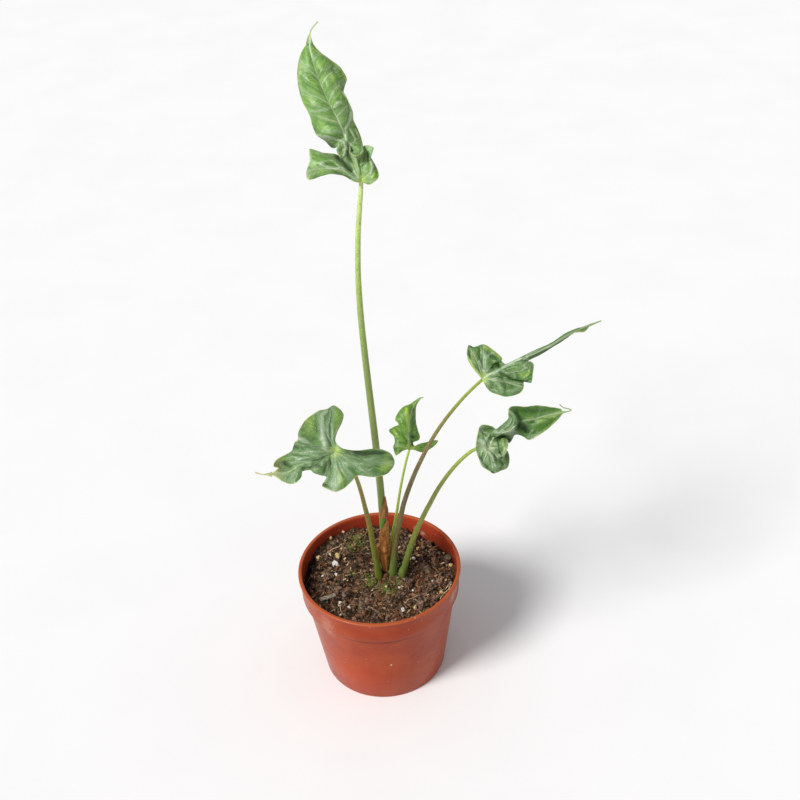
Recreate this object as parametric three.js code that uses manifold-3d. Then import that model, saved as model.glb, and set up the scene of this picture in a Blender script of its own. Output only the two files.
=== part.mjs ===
// Potted alocasia: five curled, arrow-shaped leaves, each on its own stem, growing from a corm in a
// small round nursery pot filled with potting soil.
// Millimetres, +Z up. The origin is the middle of the pot's base and the leaves face -Y.

import * as THREE from 'three';
import { mergeVertices } from 'three/addons/utils/BufferGeometryUtils.js';
import Module from 'manifold-3d';

// Pot
const RIM_RADIUS = 60;
const POT_HEIGHT = 92;
const BASE_RADIUS = 46;
const WALL = 1.5;
const COLLAR_HEIGHT = 19;
const COLLAR_STEP = 2.4;
const COLLAR_TAPER = 1;
const LIP = 1.2;
const LIP_HEIGHT = 2.4;
const FOOT_WIDTH = 6;
const FOOT_RISE = 2.5;
const FOOT_SLOPE = 1.5;
const STEP_SLOPE = 0.8;
const PLINTH_RADIUS = 16;
const DRAIN_COUNT = 8;
const DRAIN_RADIUS = 3.5;
const DRAIN_CIRCLE = 28;
const DRAIN_SIDES = 12;
const POT_SIDES = 56;

// Soil. Its banks and dips against the wall are an azimuth and a width in degrees, then a height.
const SOIL_LEVEL = 80.5;
const SOIL_BOTTOM = 5;
const SOIL_MOUND = 3;
const SOIL_BANKS = [[128, 36, 4.5], [42, 15, -5], [180, 16, -5]];
const SOIL_CLEARANCE = 0.4;
const SOIL_SIDES = 52;
const SOIL_RINGS = 10;

// Corm that the stems grow from, just showing at the soil's surface
const CORM_CENTRE = [7.4, -1.8, 67.5];
const CORM_RADIUS = 14.5;
const CORM_HALF_HEIGHT = 17.5;

// What touches keeps this gap, and no detail is finer than this
const GAP = 0.3;
const FINEST = 0.02;

// Leaf blades
const BLADE_THICKNESS = 0.8;
const BLADE_COLUMNS = 3;
const SMOOTHING = 4;
const TAIL_HALF_WIDTH = 0.4;
const TAIL_STEPS_PER_STATION = 2;
const TAIL_TAPER_STATIONS = 0.8;
const ROW_MERGE = 0.09;
const JUNCTION_RADIUS = 1.4;
const STEM_SIDES = 10;
const STEM_STEP = 12;

// Brown papery sheaths at the front of the tall stem's foot. Each row is a height, then the angle
// round the stem and the distance off it of the sheath's left edge, then of its right edge.
const SHEATH_THICKNESS = 0.7;
const SHEATH_COLUMNS = 8;
const SHEATHS = {
  sheath_lower: [
    [85.5, -82, 1.1, -66, 1.1],
    [90, -104, 1.2, -50, 0.9],
    [97, -140, 1.5, -34, 0.9],
    [103, -158, 1.8, -24, 1.3],
    [109, -166, 2.4, -24, 1.7],
    [112.5, -165, 2.8, -26, 1.6],
    [115.5, -152, 1.2, -26, 1.6],
    [122, -150, 1, -26, 1.4],
    [128, -134, 0.8, -28, 1.3],
    [133, -94, 0.8, -32, 1.2],
    [138, -48, 0.9, -34, 1],
  ],
  sheath_upper: [
    [141, -118, 0.4, -8, 0.9],
    [147, -112, 0.4, -5, 1.1],
    [153, -84, 0.4, -12, 0.5],
    [160, -38, 0.35, -26, 0.35],
  ],
};

// Stems, as points of the centre line from the foot in the corm to the leaf's junction, each with the
// stem's radius there. A wing is the edge of the sheath that clasps the next stem's foot.
const STEMS = {
  tall: {
    route: [
      [3.3, 2.5, 62, 2.7], [3.3, 2.5, 79, 2.8], [4.3, 1.9, 97.5, 2.8], [5, 1.2, 116, 2.8],
      [5.1, 0.4, 137, 2.7], [5.1, -0.3, 156, 2.62], [4.8, -1, 176, 2.55], [3.8, -2, 211, 2.42],
      [2.7, -2.8, 239.5, 2.32], [1.7, -3.3, 266.5, 2.2], [0.9, -3.5, 290.5, 2.08], [0.4, -3.5, 311, 2],
      [0.5, -3.4, 333, 1.85], [1.2, -3.2, 350.5, 1.75], [2.7, -2.9, 370.5, 1.65],
      [4.5, -2.6, 385.5, 1.52], [5.8, -2.4, 395.2, 1.4], [6.5, -2.3, 403.5, 1.25],
    ],
  },
  left: {
    route: [
      [-0.5, -3.8, 62, 2.6], [-0.5, -3.8, 80, 3], [-1.3, -4.4, 95, 2.45], [-2.3, -5.3, 108.5, 2.25],
      [-3.1, -6.7, 119, 2.12], [-3.7, -9.1, 131, 1.98], [-4.4, -12.6, 144.5, 1.84],
      [-5.5, -17.2, 159, 1.68], [-6.4, -21, 170.5, 1.55], [-7.1, -24.7, 180.5, 1.46],
      [-7.9, -28.4, 190, 1.42], [-9.1, -33.4, 202, 1.36], [-10.8, -38.4, 213.5, 1.32],
      [-13.6, -43, 224.5, 1.3], [-16.8, -46.4, 232.5, 1.3], [-20.3, -48.3, 238.6, 1.25],
    ],
  },
  small: {
    route: [
      [8, 5.3, 64, 1.35], [8, 5.3, 80, 1.38], [8.5, 5.5, 90.5, 1.35], [9.5, 6.1, 103, 1.3],
      [11.2, 7, 114.5, 1.22], [13.1, 8.3, 124, 1.16], [15, 9.9, 133, 1.1], [17.2, 12.4, 144.5, 1.02],
      [19.6, 15.3, 156, 0.95], [22.5, 19, 167, 0.88], [25, 22.3, 175, 0.82], [27.4, 26.4, 180.8, 0.8],
    ],
  },
  upper_right: {
    route: [
      [9.2, -2.1, 62, 3.6], [9.2, -2.1, 79, 4.1], [10.1, -2.2, 90, 3.05], [11.5, -2.3, 103, 2.4],
      [12.9, -2.3, 114, 2.22], [14.5, -2.2, 123.5, 2.08], [16.3, -2.1, 132.5, 1.97],
      [18.2, -2, 141.5, 1.88], [20.3, -1.8, 151, 1.8], [23.3, -1.6, 161.2, 1.72],
      [26.8, -1.3, 171.5, 1.65], [30.5, -0.9, 181.2, 1.58], [35, -0.5, 191.6, 1.5],
      [39.5, -0.1, 201.2, 1.42], [44.9, 0.3, 211.5, 1.34], [51, 0.7, 221.4, 1.26],
      [57.9, 1.1, 231.2, 1.17], [67.3, 1.6, 242.8, 1.07], [78.6, 2.3, 254.3, 1],
    ],
  },
  lower_right: {
    route: [
      [16.4, -5.2, 62, 2.2], [16.2, -5.2, 79, 2.3], [17.4, -5.3, 89, 2.35], [19.3, -5.6, 97.5, 2.35],
      [21.6, -6.2, 107, 2.3], [24.3, -7.1, 117.5, 2.2], [27.3, -8.3, 128, 2], [30.8, -9.8, 139, 1.85],
      [35.2, -11.7, 151.5, 1.73], [38.9, -13.2, 161, 1.65], [43.1, -14.8, 171.8, 1.56],
      [47.4, -16.4, 181.4, 1.46], [52.4, -18.1, 191.2, 1.37], [58.9, -20, 201.8, 1.28],
      [66.7, -21.3, 211, 1.17], [73.6, -22, 215.2, 1.08], [78.6, -23, 216, 1.02],
    ],
    wing: [
      [15.2, -4.6, 62, 1.6], [15.2, -4.6, 80, 1.7], [15.2, -4.5, 87, 1.5], [15.8, -4.5, 91, 1.2],
      [17.4, -4.8, 95, 0.9], [19, -5.2, 99, 0.4],
    ],
  },
};

// Leaf blades. Points are [right, up, toward] from the junction, as seen from in front of the leaf:
// tilt is how far the way toward the viewer rises, turn is how far it swings from -Y towards +X, and
// roll turns the blade in its own plane, all in degrees. The midrib runs from the junction to the
// drip tip. Each row of a half blade is the station on the midrib where it starts, its point on the
// margin, and its halfway point, or how far that lies in front of a straight row. The rows at station
// 0 fan out round the junction and make the rear lobe.
const LEAVES = {
  tall: {
    junction: [6.6, -5, 404],
    tilt: 25.6,
    turn: 1.4,
    roll: -3.75,
    size: [0.984, 0.968, 1],
    midrib: [
      [0, 0, 0], [-2, 9, 1], [-5, 18, 2.5], [-9.5, 27, 4], [-13.5, 36, 5], [-18.5, 46, 5.5],
      [-23, 56, 5], [-27, 67, 3], [-29.4, 79, 0], [-28.8, 87, -2], [-24.6, 93, -4],
    ],
    left: [
      [0, [-1.6, -0.8, 0.6], 0], [0, [-5, 0.2, 2.4], 0.4], [0, [-11, 3.3, 4.5], [-5.6, 2.1, 3]],
      [0, [-20, 4.4, 5.8], [-9.4, 3.8, 4.6]], [0, [-30.6, 0.8, 7], [-13.6, 5.6, 5.4]],
      [0, [-32, 5.6, 5], [-13.7, 7.1, 5]], [0, [-30.2, 11.5, 3], [-12.6, 8.4, 4.2]],
      [0, [-30, 19, 1], [-12.2, 10.6, 2.6]], [0.15, [-24, 16.8, -0.5], [-9.7, 10.1, 1.4]],
      [0.4, [-17, 16.3, -1.5], [-7.2, 10.6, 0.4]], [0.75, [-12.2, 15, -2], [-5.7, 11.5, -0.2]],
      [1.2, [-10.2, 16, -1], [-5.9, 14.2, 0.6]], [1.6, [-9.2, 15.4, 3.5], [-6.6, 16.8, 3]],
      [1.95, [-11.6, 14, 6], [-8.6, 18.5, 5]], [2.25, [-14, 17.5, 6], [-10.2, 20.2, 6]],
      [2.5, [-13.4, 22, 4], [-10.5, 22.4, 5.5]], [2.7, [-14, 20.5, 0.5], [-11.5, 23.2, 3]],
      [2.9, [-17, 19.5, -2.5], [-12.6, 24.6, 1.5]], [3.1, [-21, 23.8, -2.5], [-15, 26, 3]],
      [3.35, [-25.7, 27, 0.5], [-17.2, 28, 6.5]], [3.8, [-28.4, 33, 2.5], [-20, 33.3, 6.5]],
      [4.3, [-29.8, 38.6, 3.5], [-22.3, 39.4, 7]], [4.9, [-33.6, 46, 3], [-25.6, 46, 7]],
      [5.6, [-36, 55, 2], [-28.8, 54, 6.5]], [6.3, [-36.6, 64, 0.5], [-30.8, 62, 5]],
      [7, [-35, 73, -1.5], [-31.2, 70.4, 2.2]], [7.6, [-31.8, 79, -2.5], [-30.2, 77, -0.3]],
      [8, [-30.1, 80.6, -1.6], 0],
    ],
    right: [
      [0, [1.2, -0.6, 0.6], 0], [0, [4.9, -2, 4], [2.5, -0.8, 2.6]],
      [0, [7.4, -0.6, 5], [3.9, -0.3, 3.6]], [0, [10, 1.8, 4], [5.1, 0.8, 4]],
      [0, [10.3, 5.3, 2], [5.2, 2.4, 3.8]], [0, [8.7, 9, 0], [4.6, 4.1, 3.2]],
      [0, [6.3, 13, -1.5], [3.5, 5.9, 2.4]], [0, [5.4, 15.5, -2], [3.1, 7.2, 1.8]],
      [0, [7.4, 19.8, -1], [3.5, 9.1, 1]], [0.3, [4, 21.2, -2.5], [1.7, 11.4, 0]],
      [0.7, [1, 20.4, -3.5], [-0.2, 13, -0.4]], [1.1, [-1, 17.6, -1.5], [-2, 13.8, 0.3]],
      [1.4, [-4, 16.3, 1.8], [-3.2, 15.5, 2]], [1.65, [-6, 16.4, 5], [-4.5, 17, 4.2]],
      [1.9, [-3, 14.6, 6.5], [-3.4, 18.2, 5.5]], [2.1, [1, 16.6, 5], [-2.4, 19.6, 5.2]],
      [2.35, [1.2, 20.2, 1], [-2.5, 21, 3]], [2.6, [0.8, 22.5, -3], [-3.4, 23.4, 0]],
      [2.9, [0, 26, -4], [-4.8, 26.2, -0.5]], [3.3, [-2, 31, -4.5], [-6.8, 30, 0]],
      [3.7, [-4.4, 36, -4], [-8.4, 34, 1.5]], [4.05, [-4.6, 39.5, -2], [-9.4, 37.6, 4]],
      [4.35, [-5.6, 43, 1.5], [-10.4, 41.6, 7]], [4.75, [-8, 48.5, 4], [-12.8, 46.4, 8]],
      [5.1, [-10, 52, 3], [-15, 50.6, 8]], [5.5, [-9, 56.5, 0.5], [-16.4, 54.6, 7]],
      [5.9, [-8.2, 60, 0], [-17, 58.6, 6.5]], [6.35, [-12, 66.4, -0.5], [-19.8, 63.6, 6]],
      [6.9, [-18, 71, -1.5], [-23.4, 69.6, 4]], [7.4, [-23.6, 75.2, -2], [-26.6, 74, 1]],
      [7.8, [-26.8, 78.8, -1.8], 0.3], [8, [-28.2, 80.8, -1], 0],
    ],
  },
  left: {
    junction: [-20.2, -50, 240],
    tilt: 38.2,
    turn: 4,
    roll: -5.7,
    size: [1, 1, 1],
    midrib: [
      [0, 0, 0], [-4.5, -2, 0.8], [-9.5, -4.4, 1.6], [-15, -6.2, 2.2], [-21, -7.6, 2.6],
      [-26, -10.4, 2.4], [-31, -12.8, 2], [-35.5, -13.6, 1.4], [-40, -14, 0.6], [-46.5, -14, -0.6],
      [-51, -12.8, -1.4],
    ],
    left: [
      [0, [1, 4.6, 0], [0.6, 2.3, 0.2]], [0, [5, 1.9, 0.5], [2.6, 1.4, 1]],
      [0, [13.7, 0.9, -1.5], [7, 0, 1]], [0, [24, 2, -3.5], [12, -0.6, 0.8]],
      [0, [31, 1.2, -3.5], [16, -1.8, 1.4]], [0, [35.5, -2, -2], [17, -3, 2.2]],
      [0, [37, -7.5, 0.5], [17.6, -5.1, 4]], [0, [32.5, -13.4, 3], [16.5, -7, 5]],
      [0, [24, -15.6, 4.5], [12.6, -8.4, 5.5]], [0, [14, -14.6, 5], [8, -8.6, 5]],
      [0, [10, -18.2, 6], [5.4, -9.8, 5.4]], [0, [5.5, -22.4, 7], [3, -11, 5.4]],
      [0, [0, -25, 7], [0.4, -11.6, 4.6]], [0.1, [-4, -23.6, 6], [-1.6, -11.6, 3]],
      [0.2, [-8.7, -21.2, 6.5], [-3.2, -12, 2]], [0.35, [-6.2, -19.2, 4.2], [-4.3, -11.6, 1]],
      [0.5, [-3.7, -16.8, 0.4], [-4.9, -10.4, 0.4]], [0.8, [-6.9, -15.2, 1.8], [-6.4, -9.6, 2]],
      [1.3, [-10, -14.4, 3], [-8.6, -9.2, 4]], [1.9, [-14, -13, 3.5], [-11.8, -9.4, 4.6]],
      [2.5, [-16, -11.2, 2], [-14.8, -9, 3.8]], [3.1, [-20.8, -11.8, 0], [-18.4, -9.4, 2.2]],
      [3.7, [-21.4, -12.6, 2.6], [-20.6, -10, 3]], [4.2, [-21.8, -16, 4.4], [-22.2, -12, 3.6]],
      [4.8, [-25.2, -19.3, 5], [-25, -14, 3.6]], [5.5, [-29.5, -19.8, 4.4], [-28.6, -15.4, 3]],
      [6.3, [-34.4, -17.8, 3], [-33, -15.2, 2.2]], [7.2, [-38, -15.6, 1.6], 0.2],
      [8, [-41.4, -14.6, 0.6], 0],
    ],
    right: [
      [0, [1, 4.6, 0], [0.6, 2.3, 0.2]], [0, [-0.6, 8.4, -1.5], [-0.6, 4, -0.2]],
      [0, [0.6, 13, -3], [-0.8, 6.4, -0.6]], [0, [4.2, 20, -5], [-0.7, 9.7, -1]],
      [0, [4.4, 25, -7], [-1.3, 12, -1.5]], [0, [-1, 29.8, -9], [-3.4, 14.2, -2]],
      [0, [-6, 27.4, -8.5], [-4.8, 13, -1.4]], [0, [-12, 26, -8.5], [-6.7, 12.4, -1.8]],
      [0, [-19.6, 20, -7], [-9, 10.4, -1]], [0.3, [-23.6, 13, -4], [-11.3, 7.5, 0]],
      [1.2, [-24, 8, -1.5], [-13.6, 4.4, 1.4]], [2, [-26.2, 6, -4], [-16, 1.8, 1.4]],
      [2.9, [-28, 0.8, -4], [-19.4, -1.8, 1.2]], [3.7, [-32.5, -2, -2.5], [-24.4, -4, -0.5]],
      [4.5, [-37.6, -5, -0.5], [-29, -7, -2]], [5.3, [-39, -8.8, 2.5], [-32.4, -9.8, -2]],
      [6, [-36, -9.6, 0.5], [-33.6, -11.4, -0.4]], [6.8, [-37.6, -11.3, 0.6], 0],
      [7.6, [-40, -13, 0.6], 0], [8, [-41.4, -13.4, 0.4], 0],
    ],
  },
  small: {
    junction: [27.3, 25, 180],
    tilt: 38.3,
    turn: -0.4,
    roll: -2.9,
    size: [1, 1, 1],
    midrib: [
      [0, 0, 0], [-0.8, 3.7, 0.4], [-1, 8, 0.6], [-1.2, 13, 0.6], [-0.9, 18, 0.4], [0, 23, 0],
      [1.6, 28, -0.8], [4, 33, -1.8], [6.5, 35.8, -2.6], [9.5, 37, -3.4],
    ],
    left: [
      [0, [-1.6, -0.3, 0.3], 0], [0, [-4, -0.2, 1], 0.3], [0, [-9.3, -4.2, 2], [-4.8, -0.6, 1.8]],
      [0, [-10.6, -3.8, 2], [-5.4, -0.1, 2.1]], [0, [-12, 1.2, 1], [-5.8, 1.6, 2.6]],
      [0.3, [-10.8, 4.5, 1.5], [-5.8, 3.8, 3]], [0.9, [-11.5, 9, 0.5], [-6, 6.8, 3]],
      [1.4, [-15, 12.8, -1], [-7.4, 9.8, 2.6]], [2, [-12.4, 15.2, -1.5], [-6.8, 11.8, 2.2]],
      [2.6, [-8.5, 17, -1.5], [-5, 14.2, 2]], [3.2, [-8.4, 18.6, 0], [-4.8, 16.6, 2.4]],
      [3.8, [-10.4, 21, 0.5], [-5.6, 19.4, 3]], [4.6, [-8.6, 25.6, -0.5], [-4.4, 23.4, 2.4]],
      [5.4, [-5, 29.8, -1.5], [-2.2, 27.2, 1]], [6.2, [0, 32, -2.2], [1, 30.2, -0.8]],
      [7, [3.6, 34.6, -2.4], 0], [8, [6.2, 36.4, -2.8], 0],
    ],
    right: [
      [0, [0.8, -0.4, 0.2], 0], [0, [3, -0.4, -0.5], 0.2], [0, [9, -2.2, -1.5], [4.4, -0.4, 0.2]],
      [0, [15.8, 1, -2.5], [8, 0.8, -0.6]], [0, [20, 5.4, -4], [9.6, 2.4, -1.2]],
      [0, [17.4, 6, -4.5], [8.6, 3, -1.6]], [0, [10.4, 4.2, -4], [5.4, 2.6, -1.4]],
      [0.2, [5.6, 1, -2.6], [2.8, 1.4, -0.8]], [0.5, [2.4, 3.2, -2.4], 0],
      [1, [2.6, 5.2, -3], [0.8, 4.8, -1]], [1.5, [6, 6.4, -5], [2.2, 6.4, -1.8]],
      [2, [6.9, 9.2, -6], [2.6, 8.8, -2]], [2.7, [5.6, 13.2, -5.5], [2, 12.6, -1.8]],
      [3.6, [4.2, 19, -5], [1.4, 17.6, -1.8]], [4.4, [4, 24, -4.5], [1.8, 22.2, -1.6]],
      [5.3, [4, 28.5, -4], [2.6, 27, -1.8]], [6.2, [4.6, 31.4, -3.2], 0], [7, [5.6, 33.2, -3], 0],
      [8, [7.1, 35.2, -3], 0],
    ],
  },
  upper_right: {
    junction: [77.1, 0, 255],
    tilt: 35.1,
    turn: -4.8,
    roll: -0.4,
    size: [1, 1, 1],
    midrib: [
      [0, 0, 0], [5.5, 3.6, 0.6], [10.5, 6, 1.2], [16, 8.8, 2], [22, 11.8, 2.6], [29, 14.4, 2.4],
      [36, 17.4, 2], [45, 22, 1.4], [54, 27.6, 0.6], [62, 31.6, -0.2], [70, 35.1, -1], [77.7, 38, -1.8],
    ],
    left: [
      [0, [-0.6, 0.6, 0], 0], [0, [-5, 6, 0.8], [-2.8, 3.2, 1]], [0, [-8.6, 11, 0.4], [-4.6, 5.8, 1.6]],
      [0, [-10.2, 16, -0.6], [-5.2, 8.4, 1.8]], [0, [-9.2, 22.2, -2], [-3.6, 11, 1.2]],
      [0, [-5.6, 21, -3], [-2, 11, 0.4]], [0, [0.6, 22.8, -4.5], [0.4, 11.4, -0.6]],
      [0, [6, 19.8, -4], [2.6, 10.6, -0.8]], [0.2, [12.6, 14.2, -2], [6, 9.6, -1.5]],
      [0.8, [12.4, 12.2, -3.2], [7.6, 8.2, -2]], [1.6, [14.8, 9.8, -3], [10.6, 7.6, -1.6]],
      [2.2, [15.6, 9.6, -3.2], [12.8, 8.4, -1]], [3, [17.8, 8.8, -3.4], [17.2, 10, -0.6]],
      [4, [23.6, 11.6, -3.4], [22.8, 13, 0]], [5, [30.4, 14.6, -3.2], [29.6, 16.2, 0]],
      [6, [37.4, 18.2, -3], [36.6, 19.4, -0.2]], [7, [45.6, 22.6, -1.6], [45.2, 23.6, 0]],
      [8, [54, 28.4, -1.4], [53.8, 29.3, -0.2]], [9, [61, 32.1, -1], [61.2, 32.6, -0.4]],
      [9.5, [65.4, 34, -1], 0], [10, [69.5, 35.7, -1], 0],
    ],
    right: [
      [0, [0.4, -0.9, 0], 0], [0, [4.3, -7.6, 1.6], [2.4, -3.4, 1.4]],
      [0, [11, -10.6, 3], [6, -4.6, 2.6]], [0, [16, -11.6, 3.4], [8.6, -4.8, 3.2]],
      [0, [23.6, -9.8, 2.6], [12, -4.2, 3]], [0, [26.8, -6, 1], [14, -2.4, 2]],
      [0.2, [27, -2.2, -0.5], [14.6, -0.8, 0.4]], [0.6, [28.6, -1.6, 0], [15, 0.4, 0]],
      [1, [32, -2.4, 2], [16.6, 1.4, 1.6]], [1.8, [32.8, 3, 3.4], [19, 4, 4]],
      [2.6, [33.4, 9, 3.6], [21.5, 7.2, 5]], [3.3, [31.6, 11.2, 3], [23.4, 9.6, 4.6]],
      [4.1, [29.8, 11.2, 1.6], [25.4, 11.4, 3.4]], [4.7, [30.4, 12.2, -0.4], [28.2, 12.4, 1.8]],
      [5.4, [33.6, 14, -1.6], [32.8, 14, 1]], [6.2, [39, 16.8, -1.8], [38.4, 16.6, 0.6]],
      [7, [46, 21.4, -1], [45.4, 20.8, 0.6]], [8, [54.6, 26.8, -0.8], [54.4, 26.4, 0]],
      [8.6, [58.5, 29.2, -0.4], 0], [9, [61.6, 30.4, 0.4], [61.8, 31, 0.2]],
      [9.5, [66.4, 30.7, 1], [66, 32, 0.4]], [10, [69.9, 34.4, -0.6], 0],
    ],
  },
  lower_right: {
    junction: [77, -25, 217],
    tilt: 38.3,
    turn: -5,
    roll: 0,
    size: [1, 1, 1],
    midrib: [
      [2, -0.5, 0], [3.6, 4.6, 1.6], [8.6, 8.6, 3.6], [15, 11, 5], [19.4, 14.4, 5.6], [21.4, 17.2, 2.6],
      [25, 17.8, -1], [31, 18.8, -2], [38, 20.6, -2.4], [45, 22.2, -2.4], [50.5, 23.2, -2.2],
      [54.5, 23.9, -2.2], [56.2, 24.8, -2.2], [54, 25.6, -2.2], [51, 26.4, -2.4], [48.6, 28.5, -2.6],
    ],
    left: [
      [0, [-6.8, 0.2, -3], [-2.4, -0.2, 0]], [0, [-6.4, 3.6, -2.6], [-2.2, 2, 0.4]],
      [0, [-5.8, 7, -2], [-2, 4, 0.8]], [0, [-4.8, 11.6, -1.6], [-1.6, 6.4, 1]],
      [0, [-3.6, 14.4, -2], [-1, 7.8, 1]], [0, [-0.6, 15.1, -2.6], [0.4, 8, 0.8]],
      [0.2, [4.2, 13.9, -2.4], [2.6, 8.4, 0.8]], [0.8, [6.9, 12.2, -1.6], [4.4, 9, 1]],
      [1.6, [9.8, 14.4, 1.4], [8.4, 11.4, 3]], [2.4, [12.8, 16.9, 2.4], [12, 13, 4.4]],
      [3.1, [15, 19.4, 3], [15.8, 15, 5.2]], [3.7, [14.8, 22.4, 2.6], [17.8, 18, 5.2]],
      [4.3, [15, 25.2, 1.2], [19.4, 20.4, 4.6]], [4.9, [16.6, 26.9, -1.4], [20, 22.4, 1.4]],
      [5.5, [20, 27.5, -3.4], [22, 22.8, -1.6]], [6.4, [26, 27.1, -4], [26.6, 22.6, -2.2]],
      [7.4, [34, 27.9, -4.6], [33.6, 23.6, -2.4]], [8.4, [41, 27, -4.4], [40.6, 23.8, -2.6]],
      [9.4, [48.6, 25.7, -3], [47.8, 24.2, -2.4]], [10, [50.6, 24, -2.2], 0],
    ],
    right: [
      [0, [-6.8, 0.2, -3], [-2.4, -0.2, 0]], [0, [-6, -3.2, -2.4], [-2, -1.8, 0.4]],
      [0, [-4.8, -7, -1], [-1.4, -3.8, 1]], [0, [-2.6, -12.4, 0.6], [-0.4, -6, 1.8]],
      [0, [1, -14.6, 1.8], [1.4, -7.2, 2.4]], [0, [5, -17, 2.4], [3.4, -8.4, 2.8]],
      [0, [9.6, -15.2, 2], [5.8, -7.6, 2.8]], [0, [13.6, -13.6, 0.6], [8, -6.6, 2.2]],
      [0, [15.3, -9.4, -1], [8.8, -4.8, 1.4]], [0, [15, -4.6, -3.4], [8.8, -3, 0.2]],
      [0.1, [13.6, -1.6, -3], [8.6, -1.8, 0.2]], [0.2, [11, -5.8, 4.2], [8, -1, 2.2]],
      [0.35, [13, -3.6, 5.6], [8.4, 0, 3.2]], [0.55, [14.6, 1.8, 5], [8.8, 2, 3.2]],
      [0.8, [13.6, 6.2, 2.2], [8.4, 4.2, 2]], [1.2, [13.2, 6.6, -1], [9, 5.6, 0.8]],
      [1.7, [15.2, 3.2, -3], [10.4, 6, -0.6]], [2.4, [17.2, 5, -4], [13.2, 7.6, -1]],
      [3.2, [18.6, 8, -4.4], [16.4, 9.6, 0]], [4.2, [21, 8.7, -4.6], [20.4, 11.6, -1]],
      [5.2, [25, 7, -4], [23, 12, -2.4]], [6, [28.8, 5, -2.6], [26.6, 11.4, -2.6]],
      [6.8, [34, 7.6, -2.2], [31.4, 12.8, -2.2]], [7.6, [40.4, 12, -2.2], [37, 15.6, -2]],
      [8.6, [46, 17, -2.4], [43.6, 19, -2]], [9.4, [49.4, 20.8, -2.4], [48, 21.6, -2.2]],
      [10, [51, 22.6, -2.2], 0],
    ],
  },
};

// Colour, roughness
const FINISH = {
  pot: ['#b5532f', 0.5],
  soil: ['#3b2c22', 0.95],
  corm: ['#6b4a2f', 0.85],
  sheath_lower: ['#9a6a35', 0.8],
  sheath_upper: ['#8a5a34', 0.8],
  stem_tall: ['#6f8a3c', 0.5],
  stem_left: ['#6b7335', 0.5],
  stem_small: ['#9dbb45', 0.5],
  stem_upper_right: ['#77663a', 0.5],
  stem_lower_right: ['#869a3f', 0.5],
  leaf_tall: ['#5f9a52', 0.45],
  leaf_left: ['#5b9350', 0.45],
  leaf_small: ['#72a043', 0.45],
  leaf_upper_right: ['#4f8a4c', 0.45],
  leaf_lower_right: ['#5d9447', 0.45],
};

const wasm = await Module();
wasm.setup();

// A closed geometry as a solid that can be joined and cut
function solidOf(geometry) {
  const bare = geometry.clone();
  bare.deleteAttribute('normal');
  bare.deleteAttribute('uv');
  const merged = mergeVertices(bare, 1e-4);
  return new wasm.Manifold(
    new wasm.Mesh({
      numProp: 3,
      vertProperties: new Float32Array(merged.attributes.position.array),
      triVerts: new Uint32Array(merged.index.array),
    }),
  );
}

function geometryOf(solid) {
  const mesh = largest(solid.simplify(FINEST)).getMesh();
  const geometry = new THREE.BufferGeometry();
  geometry.setAttribute('position', new THREE.BufferAttribute(mesh.vertProperties, 3));
  geometry.setIndex(new THREE.BufferAttribute(mesh.triVerts, 1));
  geometry.computeVertexNormals();
  return geometry;
}

// The largest of the separate pieces that a join or cut leaves
function largest(solid) {
  return solid.decompose().reduce((best, piece) => (piece.volume() > best.volume() ? piece : best));
}

// Lathe about the vertical axis through a closed list of [radius, height] points
function turned(profile, sides) {
  const geometry = new THREE.LatheGeometry(
    profile.map(([radius, height]) => new THREE.Vector2(radius, height)),
    sides,
  );
  return geometry.rotateX(Math.PI / 2);
}

// Catmull-Rom value of a list of equal-length vectors at a place counted in list steps
function along(points, place) {
  const last = points.length - 1;
  const i = Math.min(Math.max(Math.floor(place), 0), last - 1);
  const f = place - i;
  const [b, c] = [points[i], points[i + 1]];
  const a = i > 0 ? points[i - 1] : b.map((value, k) => 2 * value - c[k]);
  const d = i + 2 <= last ? points[i + 2] : c.map((value, k) => 2 * value - b[k]);
  return b.map((value, k) => 0.5 * (
    2 * value
    + (c[k] - a[k]) * f
    + (2 * a[k] - 5 * value + 4 * c[k] - d[k]) * f * f
    + (3 * value - a[k] - 3 * c[k] + d[k]) * f ** 3
  ));
}

const mix = (a, b, f) => a.map((value, k) => value * (1 - f) + b[k] * f);

function curveOf(route) {
  const points = route.map(([x, y, z]) => new THREE.Vector3(x, y, z));
  return new THREE.CatmullRomCurve3(points, false, 'centripetal');
}

// Radius of a route at a share of its curve's length
function radiusAt(route, curve, share) {
  return along(route, curve.getUtoTmapping(share) * (route.length - 1))[3];
}

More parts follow.
